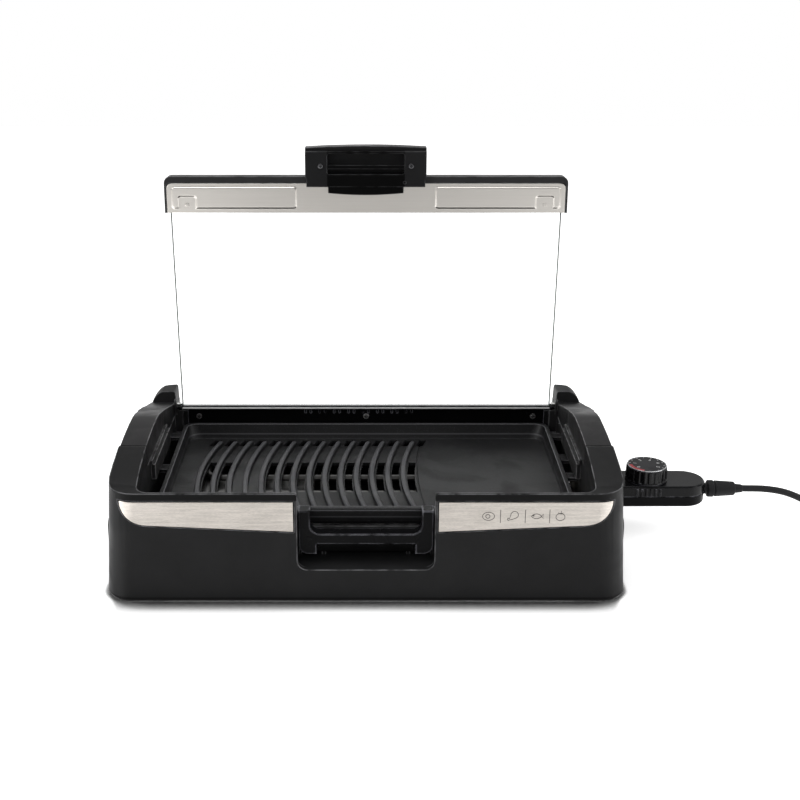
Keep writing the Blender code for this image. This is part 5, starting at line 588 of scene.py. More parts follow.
def white_floor():
    """A pale sweep, lifted to white where it is seen, that keeps the object's shadow.

    It is polished close to the casing and darkened by painted contact shade where things stand on it.
    Its glow in gloss is a painted reflection: dimmer in front of the casing and brighter beside it,
    where the softboxes stand.
    """
    material, tree, shader, coords = new_material("studio_floor", 0.35, specular=0.25)
    # The distances are measured from the casing's middle and from its walls
    place = axes(tree, coords)
    across = minus(tree, place["X"], BASE_MIDDLE_X)
    aside = maths("ABSOLUTE", tree, across)
    beside = larger(tree, minus(tree, aside, 0.240), 0.0)
    before = larger(tree, minus(tree, maths("ABSOLUTE", tree, place["Y"]), 0.150), 0.0)
    apart = combined(tree, beside, before)
    away = add(tree, "ShaderNodeVectorMath", {0: apart}, operation="LENGTH").outputs["Value"]
    # Painted contact shade: closeness darkens the floor's colour and glow, farther in front of the casing
    # than beside it
    in_front = between(tree, aside, 0.243, 0.225)
    in_front = times(tree, in_front, between(tree, place["Y"], -0.140, -0.150))
    shade_reach = {"Distance": between(tree, in_front, 0.0, 1.0, CONTACT_BESIDE, CONTACT_REACH)}
    open_share = add(tree, "ShaderNodeAmbientOcclusion", shade_reach, samples=8).outputs["AO"]
    contact = maths("POWER", tree, between(tree, open_share, 0.5, 0.98), 2.5)
    haze = placed(tree, HANDLING, coords, Patch=0.4)
    tone = mixed(tree, haze["Mask"], shaded(WHITE, 0.86), shaded(WHITE, 0.84))
    tree.links.new(mixed(tree, contact, shaded(WHITE, 0.01), tone), shader.inputs["Base Color"])
    shader.inputs["Coat IOR"].default_value = 1.8
    tree.links.new(between(tree, away, 0.02, 0.11, 1.0, 0.0), shader.inputs["Coat Weight"])
    # Painted reflection: the glow that gloss sees, dimmed in front of the casing and raised beside it
    left = between(tree, across, -0.22, -0.42)
    right = between(tree, across, 0.22, 0.42)
    front = between(tree, place["Y"], -0.12, -0.20)
    middle = times(tree, front, minus(tree, 1.0, larger(tree, left, right)))
    gloss = minus(tree, FLOOR_LIFT, times(tree, middle, DIM_FRONT))
    gloss = plus(tree, gloss, times(tree, left, GLOW_LEFT))
    gloss = plus(tree, gloss, times(tree, right, GLOW_RIGHT))
    # Painted light: seen directly, the floor glows more away from the casing, so that shadows there fade
    lift = times(tree, between(tree, away, 0.0, 0.12, FLOOR_LIFT_NEAR, FLOOR_LIFT_FAR), contact)
    rays = add(tree, "ShaderNodeLightPath").outputs
    seen = larger(tree, rays["Is Camera Ray"], rays["Is Transmission Ray"])
    strength = plus(tree, times(tree, seen, lift), times(tree, rays["Is Glossy Ray"], gloss))
    tree.links.new(strength, shader.inputs["Emission Strength"])
    shader.inputs["Emission Color"].default_value = shaded(WHITE, 1.0)
    return material


# Black plastic, and the relief of a polished mould
BLACK = (0.0125, 0.0125, 0.0130)
POLISHED = 0.000004
# The number after a moulded finish's specular level is how much paler its edges are painted: mostly a painted
# highlight, partly wear
MOULDED_BLACK = moulded("moulded_black", BLACK, 0.46)
CASING_BLACK = moulded(
    "casing_black", BLACK, 0.46, 0.15, 17.0, 0.0016, zone=casing_shade_and_joints, zone_edge_radius=0.0025
)
COVER_GREY = moulded(
    "cover_grey", (0.019, 0.0185, 0.019), 0.40, 0.08, 14.0, zone=cover_joints, zone_light=0.03
)
RAIL_BLACK = moulded("rail_black", (0.020, 0.020, 0.0205), 0.42, 0.15, 7.0)
STRIP_BLACK = moulded("strip_black", (0.0016, 0.0016, 0.0018), 0.35, 0.05, 140.0)
PAN_GREY = moulded("pan_grey", (0.026, 0.026, 0.0265), 0.35, 0.15, 4.0, zone=pan_painted_shade, zone_light=0.08)
TRAY_BLACK = moulded("tray_black", (0.0045, 0.0045, 0.005), 0.26, 0.08, 50.0, 0.0024, POLISHED)
GLOSS_BLACK = moulded("gloss_black", (0.0045, 0.0045, 0.005), 0.18, 0.15, 40.0, 0.0012, POLISHED)
# A darker, duller copy of the gloss black: painted shade on the thermostat's lower half; the hinge bar takes
# it too
LOWER_BLACK = moulded("lower_black", (0.0030, 0.0030, 0.0034), 0.20, 0.06, 30.0, 0.0011, POLISHED)
KNOB_BLACK = moulded("knob_black", (0.0030, 0.0030, 0.0035), 0.10, 0.22, 40.0, depth=POLISHED / 2)
KNOB_FACE_BLACK = moulded("knob_face_black", (0.010, 0.010, 0.011), 0.35, 0.08, 2.0)
HANDLE_BLACK = moulded("handle_black", (0.010, 0.010, 0.0105), 0.40, 0.15)
HANDLE_FACE_BLACK = moulded(
    *("handle_face_black", (0.012, 0.012, 0.0125), 0.38, 0.06, 8.0),
    zone=handle_middle,
    zone_light=0.05,
    zone_edges=0.5,
)
SOFT_RUBBER = moulded("soft_rubber", (0.010, 0.010, 0.011), 0.60, 0.2, 4.0, grain=0.0004)
LEAD_SHEATH = moulded(
    "lead_sheath", (0.018, 0.018, 0.019), 0.50, grain=0.0003, depth=0.000012, edge_radius=0.0002
)
STONE_COATING = coated_cast()
BRUSHED_TRIM = brushed_sheet("brushed_trim", (0.66, 0.615, 0.565), 0.36, run=0.003, contrast=0.17)
SATIN_SHEET = brushed_sheet("satin_sheet", (0.66, 0.632, 0.592), 0.28, 0.004, depth=0.000003, contrast=0.03)
REFLECTOR_SHEET = brushed_sheet("reflector_sheet", (0.20, 0.198, 0.195), 0.40, run=0.05, contrast=0.25)
SCREW_STEEL = recessed_screw("screw_steel", (0.46, 0.455, 0.45), 0.30)
LID_SCREW_STEEL = recessed_screw("lid_screw_steel", (0.62, 0.59, 0.55), 0.32)
BRIGHT_STEEL = plain_metal("bright_steel", (0.55, 0.55, 0.54), 0.24)
DARK_SCREW_STEEL = recessed_screw("dark_screw_steel", (0.10, 0.10, 0.105), 0.30)
# A painted highlight: the bright strip on the hinge bar's front edge
HINGE_HIGHLIGHT_STRIP = plain_metal("hinge_highlight_strip", (0.36, 0.36, 0.36), 0.45)
HEATED_ROD = plain_metal("heated_rod", (0.11, 0.108, 0.105), 0.38, dark=0.7)
CERAMIC = moulded("ceramic", (0.55, 0.50, 0.42), 0.70, edge_highlight=1.2, depth=0.00004, grain=0.0008)
BRASS = plain_metal("brass", (0.60, 0.44, 0.18), 0.30)
GLASS = clear_glass()
GROUND_GLASS = moulded("ground_glass", (0.20, 0.215, 0.21), 0.55, edge_highlight=1.3, depth=0.00001, grain=0.0003)
DIAL_SILVER = plain_metal("dial_silver", (0.55, 0.55, 0.56), 0.25, grain=0.0003)
DIAL_RED = printed("dial_red", (0.30, 0.010, 0.016))
DIAL_WHITE = printed("dial_white", (0.72, 0.72, 0.72))
TRIM_INK = printed("trim_ink", (0.030, 0.028, 0.026))


# Mesh pieces


def mark_sharp_edges(shape):
    """Smooth faces, with the edges that turn more than the sharp angle kept crisp."""
    for face in shape.faces:
        face.smooth = True
    for edge in shape.edges:
        edge.smooth = edge.is_manifold and edge.calc_face_angle(0.0) < SHARP_ANGLE


def finished(name, shape, material):
    """A piece at the origin from a bmesh, its corner normals weighted by face size."""
    mark_sharp_edges(shape)
    mesh = bpy.data.meshes.new(name)
    shape.to_mesh(mesh)
    shape.free()
    piece = add_object(name, mesh)
    weighted = piece.modifiers.new("weighted", "WEIGHTED_NORMAL")
    weighted.keep_sharp = True
    graph = bpy.context.evaluated_depsgraph_get()
    baked = bpy.data.meshes.new_from_object(piece.evaluated_get(graph))
    piece.modifiers.clear()
    piece.data = baked
    baked.materials.clear()
    baked.materials.append(material)
    return piece


def attach(piece, node):
    """The piece rides with the node's body."""
    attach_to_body(piece, frame["nodes"][node]["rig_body"])
    return piece


def settle(piece, node, *others):
    """The piece is attached to the node's body, and stands for the node."""
    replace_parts(attach(piece, node), node, *others)
    return piece


def baked_shape(host):
    """An object's evaluated mesh as a shape, in the object's place."""
    graph = bpy.context.evaluated_depsgraph_get()
    mesh = bpy.data.meshes.new_from_object(host.evaluated_get(graph))
    host.modifiers.clear()
    bpy.data.objects.remove(host)
    shape = bmesh.new()
    shape.from_mesh(mesh)
    bpy.data.meshes.remove(mesh)
    return shape


def skinned(rings, round_trip=False):
    """A closed shape over rings of places: capped at both ends, or with the last joined to the first."""
    shape = bmesh.new()
    loops = [[shape.verts.new(place) for place in ring] for ring in rings]
    for one, two in zip(loops, loops[1:] + loops[:1] if round_trip else loops[1:]):
        for i in range(len(one)):
            j = (i + 1) % len(one)
            shape.faces.new((one[i], one[j], two[j], two[i]))
    if not round_trip:
        shape.faces.new(reversed(loops[0]))
        shape.faces.new(loops[-1])
    bmesh.ops.recalc_face_normals(shape, faces=shape.faces)
    return shape


def joined(shapes):
    """Several shapes as one."""
    whole = bmesh.new()
    for shape in shapes:
        mesh = bpy.data.meshes.new("part")
        shape.to_mesh(mesh)
        shape.free()
        whole.from_mesh(mesh)
        bpy.data.meshes.remove(mesh)
    return whole


def merged_shape(node):
    """The node's loose triangles merged into one shape, flat areas joined again."""
    source = frame["nodes"][node].data
    shape = bmesh.new()
    places = [shape.verts.new(vertex.co) for vertex in source.vertices]
    for face in source.polygons:
        shape.faces.new([places[i] for i in face.vertices])
    bmesh.ops.remove_doubles(shape, verts=shape.verts, dist=WELD)
    bmesh.ops.dissolve_limit(shape, angle_limit=FLAT_ANGLE, verts=shape.verts, edges=shape.edges)
    return shape


def reshaped_copy(node, material, change=None):
    """A smooth-shaded piece that stands for a node, with its points moved by a function if one is given."""
    shape = merged_shape(node)
    for vert in shape.verts if change else ():
        vert.co = change(vert.co.copy())
    return settle(finished(node + "_surface", shape, material), node)


def repaint(node, material):
    """A node with flat faces only stays, with a finish of its own."""
    for slot in frame["nodes"][node].material_slots:
        slot.material = material


# Geometry Nodes


def geometry_tree(name, start, values):
    """A geometry tree that takes points, these values and a finish, and gives a geometry."""
    inputs = {start: GEOMETRY, **values, "Finish": FINISH}
    return new_tree(name, inputs, {"Geometry": GEOMETRY}, "GeometryNodeTree")


def moved(tree, shape, x=0.0, y=0.0, z=0.0, turn=(0.0, 0.0, 0.0)):
    """A shape in the tree, moved by numbers or sockets, and turned."""
    inputs = {"Geometry": shape, "Translation": combined(tree, x, y, z), "Rotation": turn}
    return add(tree, "GeometryNodeTransform", inputs).outputs[0]


def merged(tree, operation, *shapes):
    """Shapes joined, or only what they share, or the first with the others cut from it."""
    node = add(tree, "GeometryNodeMeshBoolean", operation=operation, solver="EXACT")
    if operation == "DIFFERENCE":
        tree.links.new(shapes[0], node.inputs[0])
        shapes = shapes[1:]
    for shape in shapes:
        tree.links.new(shape, node.inputs[1])
    return node.outputs[0]


def block(tree, x, y, z):
    return add(tree, "GeometryNodeMeshCube", {"Size": combined(tree, x, y, z)}).outputs["Mesh"]


def round_bar(tree, sides, radius, length):
    inputs = {"Vertices": sides, "Radius": radius, "Depth": length}
    return add(tree, "GeometryNodeMeshCylinder", inputs).outputs["Mesh"]


def placed_on_points(tree, points, shape, finish, end, turn=(0.0, 0.0, 0.0)):
    """The tree, with the shape on every point, as one real mesh with its finish."""
    inputs = {"Points": points, "Instance": shape, "Rotation": turn}
    copies = add(tree, "GeometryNodeInstanceOnPoints", inputs).outputs[0]
    real = add(tree, "GeometryNodeRealizeInstances", {"Geometry": copies}).outputs[0]
    painted = add(tree, "GeometryNodeSetMaterial", {"Geometry": real, "Material": finish}).outputs[0]
    return given_out(tree, end, Geometry=painted)


def cross_screw_tree():
    """A domed screw head with a cross recess and its shank, facing the front, on every point."""
    tree, given, end = geometry_tree(
        "cross recess screws",
        "Seats",
        {
            "Head Radius": 0.003,
            "Head Height": 0.0014,
            "Crown": 0.0005,
            "Recess Length": 0.0036,
            "Recess Width": 0.0009,
            "Recess Depth": 0.0009,
            "Shank Radius": 0.0013,
            "Shank Length": 0.005,
            "Sides": 40,
        },
    )
    height, crown, radius = given["Head Height"], given["Crown"], given["Head Radius"]
    length, width = given["Recess Length"], given["Recess Width"]
    chord = plus(tree, times(tree, radius, radius), times(tree, crown, crown))
    dome_radius = over(tree, chord, times(tree, crown, 2.0))
    dome = {"Segments": 96, "Rings": 64, "Radius": dome_radius}
    ball = add(tree, "GeometryNodeMeshUVSphere", dome).outputs["Mesh"]
    ball = moved(tree, ball, z=minus(tree, height, dome_radius))
    bar = moved(tree, round_bar(tree, given["Sides"], radius, height), z=times(tree, height, 0.5))
    head = merged(tree, "INTERSECT", bar, ball)
    deep = times(tree, given["Recess Depth"], 2.0)
    slot_x = moved(tree, block(tree, length, width, deep), z=height)
    slot_y = moved(tree, block(tree, width, length, deep), z=height)
    head = merged(tree, "DIFFERENCE", head, merged(tree, "UNION", slot_x, slot_y))
    shank = round_bar(tree, 20, given["Shank Radius"], given["Shank Length"])
    shank = moved(tree, shank, z=times(tree, given["Shank Length"], -0.49))
    facing_front = moved(tree, merged(tree, "UNION", head, shank), turn=(math.pi / 2, 0.0, 0.0))
    return placed_on_points(tree, given["Seats"], facing_front, given["Finish"], end)


def shape_curve(tree, position, points):
    """A value along the position, straight from point to point."""
    node = add(tree, "ShaderNodeFloatCurve", {"Value": position})
    curve = node.mapping.curves[0]
    for _ in points[2:]:
        curve.points.new(0.5, 0.5)
    for point, (x, y) in zip(curve.points, points):
        point.location = (x, y)
        point.handle_type = "VECTOR"
    node.mapping.update()
    return node.outputs[0]


def fluted_knob_tree():
    """A knob turned from a profile, its side pressed into finger flutes, its foot at the point."""
    sizes = {"Radius": 0.0216, "Height": 0.015, "Flutes": 20, "Flute Depth": 0.0008, "Steps Each Flute": 12}
    tree, given, end = geometry_tree("fluted knob", "Foot", sizes)
    around = times(tree, given["Flutes"], given["Steps Each Flute"])
    size = {"Size X": 1.0, "Size Y": 1.0, "Vertices X": plus(tree, around, 1.0), "Vertices Y": 101}
    grid = add(tree, "GeometryNodeMeshGrid", size).outputs["Mesh"]
    spot = axes(tree, add(tree, "GeometryNodeInputPosition").outputs[0])
    turn = times(tree, plus(tree, spot["X"], 0.5), 2 * math.pi)
    along = plus(tree, spot["Y"], 0.5)
    radius, height, fluted = (shape_curve(tree, along, shares) for shares in KNOB_SHARES)
    wave = maths("COSINE", tree, times(tree, turn, given["Flutes"]))
    ridge = between(tree, wave, -0.75, 0.15, 1.0, 0.0)
    dip = times(tree, times(tree, ridge, fluted), given["Flute Depth"])
    reach = minus(tree, times(tree, radius, given["Radius"]), dip)
    x = times(tree, maths("COSINE", tree, turn), reach)
    y = times(tree, maths("SINE", tree, turn), reach)
    place = combined(tree, x, y, times(tree, height, given["Height"]))
    skin = add(tree, "GeometryNodeSetPosition", {"Geometry": grid, "Position": place}).outputs[0]
    closed = add(tree, "GeometryNodeMergeByDistance", {"Geometry": skin, "Distance": WELD}).outputs[0]
    return placed_on_points(tree, given["Foot"], closed, given["Finish"], end)


def dial_mark_tree():
    """Short bars round part of a circle, each pointing at its middle."""
    sizes = {"Marks": 11, "Radius": 0.018, "First": 0.0, "Sweep": 4.0, "Length": 0.002, "Width": 0.0005}
    tree, given, end = geometry_tree("dial marks", "Middle", {**sizes, "Height": 0.0001})
    places = add(tree, "GeometryNodeMeshLine", {"Count": given["Marks"]}).outputs[0]
    number = add(tree, "GeometryNodeInputIndex").outputs[0]
    share = over(tree, number, minus(tree, given["Marks"], 1.0))
    angle = plus(tree, given["First"], times(tree, share, given["Sweep"]))
    x = times(tree, maths("COSINE", tree, angle), given["Radius"])
    y = times(tree, maths("SINE", tree, angle), given["Radius"])
    start = add(tree, "GeometryNodeInputPosition").outputs[0]
    first = {"Geometry": given["Middle"], "Value": start, "Index": 0}
    centre = add(tree, "GeometryNodeSampleIndex", first, data_type="FLOAT_VECTOR").outputs[0]
    place = vectors("ADD", tree, combined(tree, x, y), centre)
    ring = add(tree, "GeometryNodeSetPosition", {"Geometry": places, "Position": place}).outputs[0]
    bar = block(tree, given["Length"], given["Width"], given["Height"])
    return placed_on_points(tree, ring, bar, given["Finish"], end, combined(tree, z=angle))


def grown(name, tree, places, values):
    """What the tree makes from these places, as a plain mesh piece."""
    mesh = bpy.data.meshes.new(name)
    mesh.from_pydata([tuple(place) for place in places], [], [])
    host = add_object(name, mesh)
    modifier = host.modifiers.new(name, "NODES")
    modifier.node_group = tree
    for item in tree.interface.items_tree:
        if item.in_out == "INPUT" and item.name in values:
            modifier[item.identifier] = values[item.name]
    shape = baked_shape(host)
    bmesh.ops.remove_doubles(shape, verts=shape.verts, dist=WELD)
    return finished(name, shape, values["Finish"])


# Knob profile from its foot's middle to its top's middle: shares of its radius, height and flutes
KNOB_SHARES = (
    ((0, 0), (0.10, 1.0), (0.20, 1.0), (0.25, 0.985), (0.80, 0.965), (0.86, 0.94), (1, 0)),
    ((0, 0), (0.10, 0), (0.20, 0.11), (0.25, 0.14), (0.80, 0.93), (0.86, 1.0), (1, 1.0)),
    ((0, 0), (0.24, 0), (0.27, 1.0), (0.78, 1.0), (0.84, 0), (1, 0)),
)

CROSS_SCREWS = cross_screw_tree()
FLUTED_KNOB = fluted_knob_tree()
DIAL_MARKS = dial_mark_tree()


def make_screws(name, nodes, material, head, crown, recess, shank, moved_to):
    """The screws of one body: head and shank sizes from the nodes that they stand for."""
    seats = []
    for node in nodes:
        low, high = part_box(node)
        seats.append(moved_to(Vector(((low.x + high.x) / 2, low.y + head, (low.z + high.z) / 2))))
    radius = (high.x - low.x) / 2
    values = {
        "Head Radius": radius,
        "Head Height": head,
        "Crown": crown,
        "Recess Length": RECESS_LENGTH_SHARE * radius,
        "Recess Width": RECESS_WIDTH_SHARE * radius,
        "Recess Depth": recess,
        "Shank Radius": shank,
        "Shank Length": high.y - low.y - head,
        "Finish": material,
    }
    settle(grown(name, CROSS_SCREWS, seats, values), *nodes)


# Pieces


SURFACES = {
    MOULDED_BLACK: ("rear_cap_left", "rear_cap_right"),
    RAIL_BLACK: ("lid_rail",),
    COVER_GREY: ("handle_cover_left", "handle_cover_right"),
    PAN_GREY: ("drip_tray",),
    GLOSS_BLACK: ("thermostat_top", "probe_nose"),
    LOWER_BLACK: ("thermostat_bottom",),
    STONE_COATING: ("grill_plate",),
    GLASS: ("lid_glass",),
    HEATED_ROD: ("heating_element",),
    BRIGHT_STEEL: (
        *("probe_stem", "knob_shaft", "terminal_pin_front", "terminal_pin_rear"),
        *("hinge_pin_left", "hinge_pin_right", "plug_pin_left", "plug_pin_right"),
    ),
    BRASS: ("contact_sleeve_front", "contact_sleeve_rear"),
    SOFT_RUBBER: ("foot_front_left", "foot_front_right", "foot_rear_left", "foot_rear_right", "plug_body"),
}
FLAT_NODES = {
    "side_ledge_left": COVER_GREY,
    "side_ledge_right": COVER_GREY,
    "hinge_bracket_left": MOULDED_BLACK,
    "hinge_bracket_right": MOULDED_BLACK,
    "reflector": REFLECTOR_SHEET,
    "terminal_block": CERAMIC,
}
# The casing's foot edge: its levels in the solid, new levels and insets, and its outline there
RIM_LEVELS = ((0.0115, 0.0040, 0.0), (0.0070, 0.0019, 0.0004), (0.00521, 0.0010, 0.0015))
RIM_MATCH = 0.0001
RIM_CORNER = 0.0260
RIM_INNER_X = 0.2448 - RIM_CORNER
RIM_INNER_Y = 0.1536 - RIM_CORNER
# The hinge bar is pressed flatter above and below this level, to these shares of its height
BAR_SPLIT = 0.0960
BAR_UPPER_SHARE = 0.50
BAR_LOWER_SHARE = 0.10
# The rear strip's vents and screw holes, the level of the vents' feet, and the fall behind the strip
PANEL_LOW = 0.0800
PANEL_HIGH = 0.0906
PANEL_RISE = 0.0040
VENT_FOOT = 0.0850
VENT_SHORTER = 0.0008
BACK_START = 0.1132
BACK_FALL = 0.5
BACK_HALF = 0.2106
SHELL_BACK_LOW = 0.0890
PANEL_BACK_LOW = 0.0920
# The lid handle above its foot, and the joint round the trim plates
HANDLE_WIDER = 1.0095
HANDLE_ASIDE = 0.0002
HANDLE_FOOT = 0.3410
HANDLE_LOWER = 0.935
TRIM_GAP = 0.0008
# The glass's ground edges
EDGE_WIDTH = 0.0012
EDGE_PROUD = 0.00003
# A bright metal strip on the hinge bar, a painted highlight of its rounded front edge; its profile as (y, z)
HIGHLIGHT_STRIP_END = 0.0060
HIGHLIGHT_STRIP_PROFILE = ((0.1030, 0.0972), (0.1030, 0.0977), (0.1039, 0.0987), (0.1050, 0.0985), (0.1050, 0.0972))
# The tray's grip: widths of a post and of the gap beside a leg, radii, levels, edge
GRIP_POST = 0.0110
GRIP_LEG = 0.0168
GRIP_SWEEP = 0.0090
GRIP_CORNER = 0.0090
GRIP_BAR_TOP = 0.0616
GRIP_BAR_FOOT = 0.0512
GRIP_FOOT = 0.0410
GRIP_EDGE = 0.0010
GRIP_STEPS = 8


def lowered_rim(place):
    """The casing's foot edge brought down close to the table and turned under tightly."""
    across = place.x - BASE_MIDDLE_X
    for level, new_level, inset in RIM_LEVELS:
        if abs(place.z - level) < RIM_MATCH:
            past_x, past_y = (max(abs(across) - RIM_INNER_X, 0.0), max(abs(place.y) - RIM_INNER_Y, 0.0))
            out = Vector((past_x, past_y)).normalized() * (RIM_CORNER - inset)
            x = BASE_MIDDLE_X + math.copysign(RIM_INNER_X + out.x, across)
            return Vector((x, math.copysign(RIM_INNER_Y + out.y, place.y), new_level))
    return place


def slimmer_bar(place):
    """The hinge bar pressed flatter, so that only a thin line of it shows under the glass."""
    share = BAR_UPPER_SHARE if place.z > BAR_SPLIT else BAR_LOWER_SHARE
    return Vector((place.x, place.y, BAR_SPLIT + (place.z - BAR_SPLIT) * share))


def raised_vents(place):
    """The rear strip's vents and screw holes moved up to where the photograph has them."""
    lift = PANEL_RISE if PANEL_LOW < place.z < PANEL_HIGH else 0.0
    if abs(place.z - VENT_FOOT) < RIM_MATCH:
        lift += VENT_SHORTER
    return Vector((place.x, place.y, place.z + lift))


def lowered_back(place, from_level):
    """The strip's top and the casing's rear wall fall away behind the strip, out of sight."""
    behind = place.y - BACK_START
    if behind > 0 and place.z > from_level and abs(place.x - BASE_MIDDLE_X) < BACK_HALF:
        return place - Vector((0.0, 0.0, behind * BACK_FALL))
    return place


def lower_handle(place):
    """The lid handle a little wider and lower above the rail."""
    x = BASE_MIDDLE_X + (place.x - BASE_MIDDLE_X) * HANDLE_WIDER - HANDLE_ASIDE
    z = place.z if place.z < HANDLE_FOOT else HANDLE_FOOT + (place.z - HANDLE_FOOT) * HANDLE_LOWER
    return Vector((x, place.y, z))


def as_it_is(place):
    return place


# Recesses of the screws, in shares of the head's radius
RECESS_LENGTH_SHARE = 1.3
RECESS_WIDTH_SHARE = 0.40
# Screws: nodes, finish, head height, crown, recess depth, shank radius, and how they move with their part
PANEL_SCREWS = ("panel_screw_left", "panel_screw_middle", "panel_screw_right")
LID_SCREWS = ("lid_screw_left", "lid_screw_right")
HANDLE_SCREWS = ("handle_screw_left", "handle_screw_right")
SCREWS = (
    ("rear_strip_screws", PANEL_SCREWS, SCREW_STEEL, 0.0014, 0.0002, 0.0013, 0.0013, raised_vents),
    ("lid_plate_screws", LID_SCREWS, LID_SCREW_STEEL, 0.0010, 0.0002, 0.0009, 0.0012, as_it_is),
    ("handle_face_screws", HANDLE_SCREWS, DARK_SCREW_STEEL, 0.0010, 0.0003, 0.0008, 0.0013, lower_handle),
)


def drawn_in(node, x, y, z):
    """A function that draws a node's points in from its box by these widths, so that its joint shows."""
    low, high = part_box(node)
    middle, size = (low + high) / 2, high - low
    shares = Vector([1 - 2 * gap / length for gap, length in zip((x, y, z), size)])
    return lambda place: middle + (place - middle) * shares


def dress_reshaped():
    """Nodes that the photograph shows a little finer than the solids."""
    reshaped_copy("base_shell", CASING_BLACK, lambda place: lowered_back(lowered_rim(place), SHELL_BACK_LOW))
    reshaped_copy("rear_panel", STRIP_BLACK, lambda place: lowered_back(raised_vents(place), PANEL_BACK_LOW))
    reshaped_copy("hinge_bar", LOWER_BLACK, slimmer_bar)
    reshaped_copy("handle_shell", HANDLE_BLACK, lower_handle)
    reshaped_copy("handle_face", HANDLE_FACE_BLACK, lower_handle)
    for side in ("left", "right"):
        trim = "trim_plate_" + side
        reshaped_copy(trim, BRUSHED_TRIM, drawn_in(trim, TRIM_GAP, 0.0, TRIM_GAP))


def dress_nodes():
    """A smooth piece for each curved node, and a finish for each flat one."""
    made = {}
    for material, nodes in SURFACES.items():
        for node in nodes:
            made[node] = reshaped_copy(node, material)
    for node, material in FLAT_NODES.items():
        repaint(node, material)
    return made


def make_glass_edges():
    """The glass sheet's two ground side edges, seen as thin grey lines."""
    low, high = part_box("lid_glass")
    middle = (low + high) / 2
    corners = [vertex.co.copy() for vertex in frame["nodes"]["lid_glass"].data.vertices]
    edges = []
    for side in (-1, 1):
        face = {tuple(round(part, 6) for part in co): co for co in corners if (co.x - middle.x) * side > 0}
        front, back = [sorted(face.values(), key=lambda co: (round(co.z, 2), co.y))[i::2] for i in (0, 1)]
        thick = (back[0] - front[0]) * (EDGE_PROUD / (back[0] - front[0]).length)
        outline = [front[0] - thick, front[1] - thick, back[1] + thick, back[0] + thick]
        shifts = [Vector((side * out, 0.0, 0.0)) for out in (EDGE_PROUD, EDGE_PROUD - EDGE_WIDTH)]
        edges.append(skinned([[place + shift for place in outline] for shift in shifts]))
    attach(finished("glass_ground_edges", joined(edges), GROUND_GLASS), "lid_glass")


def prism(outline, start, end, along):
    """A closed solid: an outline given as pairs, run from one place to another along X or Y."""
    return skinned(
        [[(a, place, b) if along == "Y" else (place, a, b) for a, b in outline] for place in (start, end)]
    )


def make_hinge_highlight_strip():
    """A bright metal strip along the hinge bar's front edge, a painted highlight of its rounded edge."""
    low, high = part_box("hinge_bar")
    shape = prism(HIGHLIGHT_STRIP_PROFILE, low.x + HIGHLIGHT_STRIP_END, high.x - HIGHLIGHT_STRIP_END, "X")
    attach(finished("hinge_highlight_strip", shape, HINGE_HIGHLIGHT_STRIP), "hinge_bar")


def make_tray_grip():
    """The tray's grip: two posts, a bar with swept inner corners between them, and two rounded legs."""
    low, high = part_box("tray_grip")
    middle, half = (low.x + high.x) / 2, (high.x - low.x) / 2
    inner, leg = half - GRIP_POST, half - GRIP_LEG
    turns = [math.radians(90 * i / GRIP_STEPS) for i in range(GRIP_STEPS + 1)]
    side = [
        (inner - GRIP_SWEEP * (1 - math.sin(turn)), GRIP_BAR_TOP + GRIP_SWEEP * (1 - math.cos(turn)))
        for turn in turns
    ]
    side += [(inner, high.z), (half, high.z)]
    side += [
        (half - GRIP_CORNER * (1 - math.cos(turn)), GRIP_FOOT + GRIP_CORNER * (1 - math.sin(turn)))
        for turn in turns
    ]
    side += [(leg, GRIP_FOOT), (leg, GRIP_BAR_FOOT)]
    outline = [(middle + x, z) for x, z in side] + [(middle - x, z) for x, z in reversed(side)]
    shape = prism(outline, low.y, high.y, "Y")
    rims = [edge for edge in shape.edges if abs(edge.verts[0].co.y - edge.verts[1].co.y) < WELD]
    bmesh.ops.bevel(shape, geom=rims, offset=GRIP_EDGE, segments=3, profile=0.5, affect="EDGES")
    settle(finished("tray_grip_surface", shape, TRAY_BLACK), "tray_grip")


def dress_cord():
    """The lead's sheath, on the curve that stands for the cord and its coil."""
    mains_lead.data.materials.append(LEAD_SHEATH)
    settle(mains_lead, "mains_cord", "cord_coil")


# Knob face


FACE_RISE = 0.0004
DIAL_SPREAD = 1.045
# Shares of the dial's radius: rim, plate, red band, marks, the marks' length, figures
RIM_SHARE = 0.955
PLATE_SHARE = 0.95
BAND_SHARES = (0.76, 0.93)
MARK_SHARE = 0.87
MARK_LENGTH_SHARE = 0.09
FIGURE_SHARE = 0.60
MARK_WIDTH = 0.0006
BAND_FIRST = math.radians(180)
BAND_SWEEP = math.radians(70)
DIAL_SLEW = math.radians(250)
DIAL_FIRST = math.radians(215)
DIGITS = "012345"
DIGIT_HEIGHT = 0.0052


def ring_shape(inner, outer, bottom, top, first=0.0, sweep=2 * math.pi, steps=96):
    """A flat ring, or an arc of one, closed all round."""
    whole = sweep == 2 * math.pi
    corners = ((inner, bottom), (outer, bottom), (outer, top), (inner, top))
    rings = []
    for i in range(steps if whole else steps + 1):
        angle = first + sweep * i / steps
        rings.append([(math.cos(angle) * r, math.sin(angle) * r, z) for r, z in corners])
    return skinned(rings, round_trip=whole)


def place_shape(shape, place):
    bmesh.ops.translate(shape, verts=shape.verts, vec=place)
    return shape


def text_shape(words, height, place, turn):
    """Generic figures as a thin raised mesh, turned about the vertical and set down."""
    curve = bpy.data.curves.new("figure", "FONT")
    curve.body = words
    curve.size = height
    curve.align_x = "CENTER"
    curve.align_y = "CENTER"
    curve.extrude = PRINT_LIFT / 2
    shape = baked_shape(add_object("figure", curve))
    bmesh.ops.rotate(shape, verts=shape.verts, matrix=Matrix.Rotation(turn, 3, "Z"))
    return place_shape(shape, place)


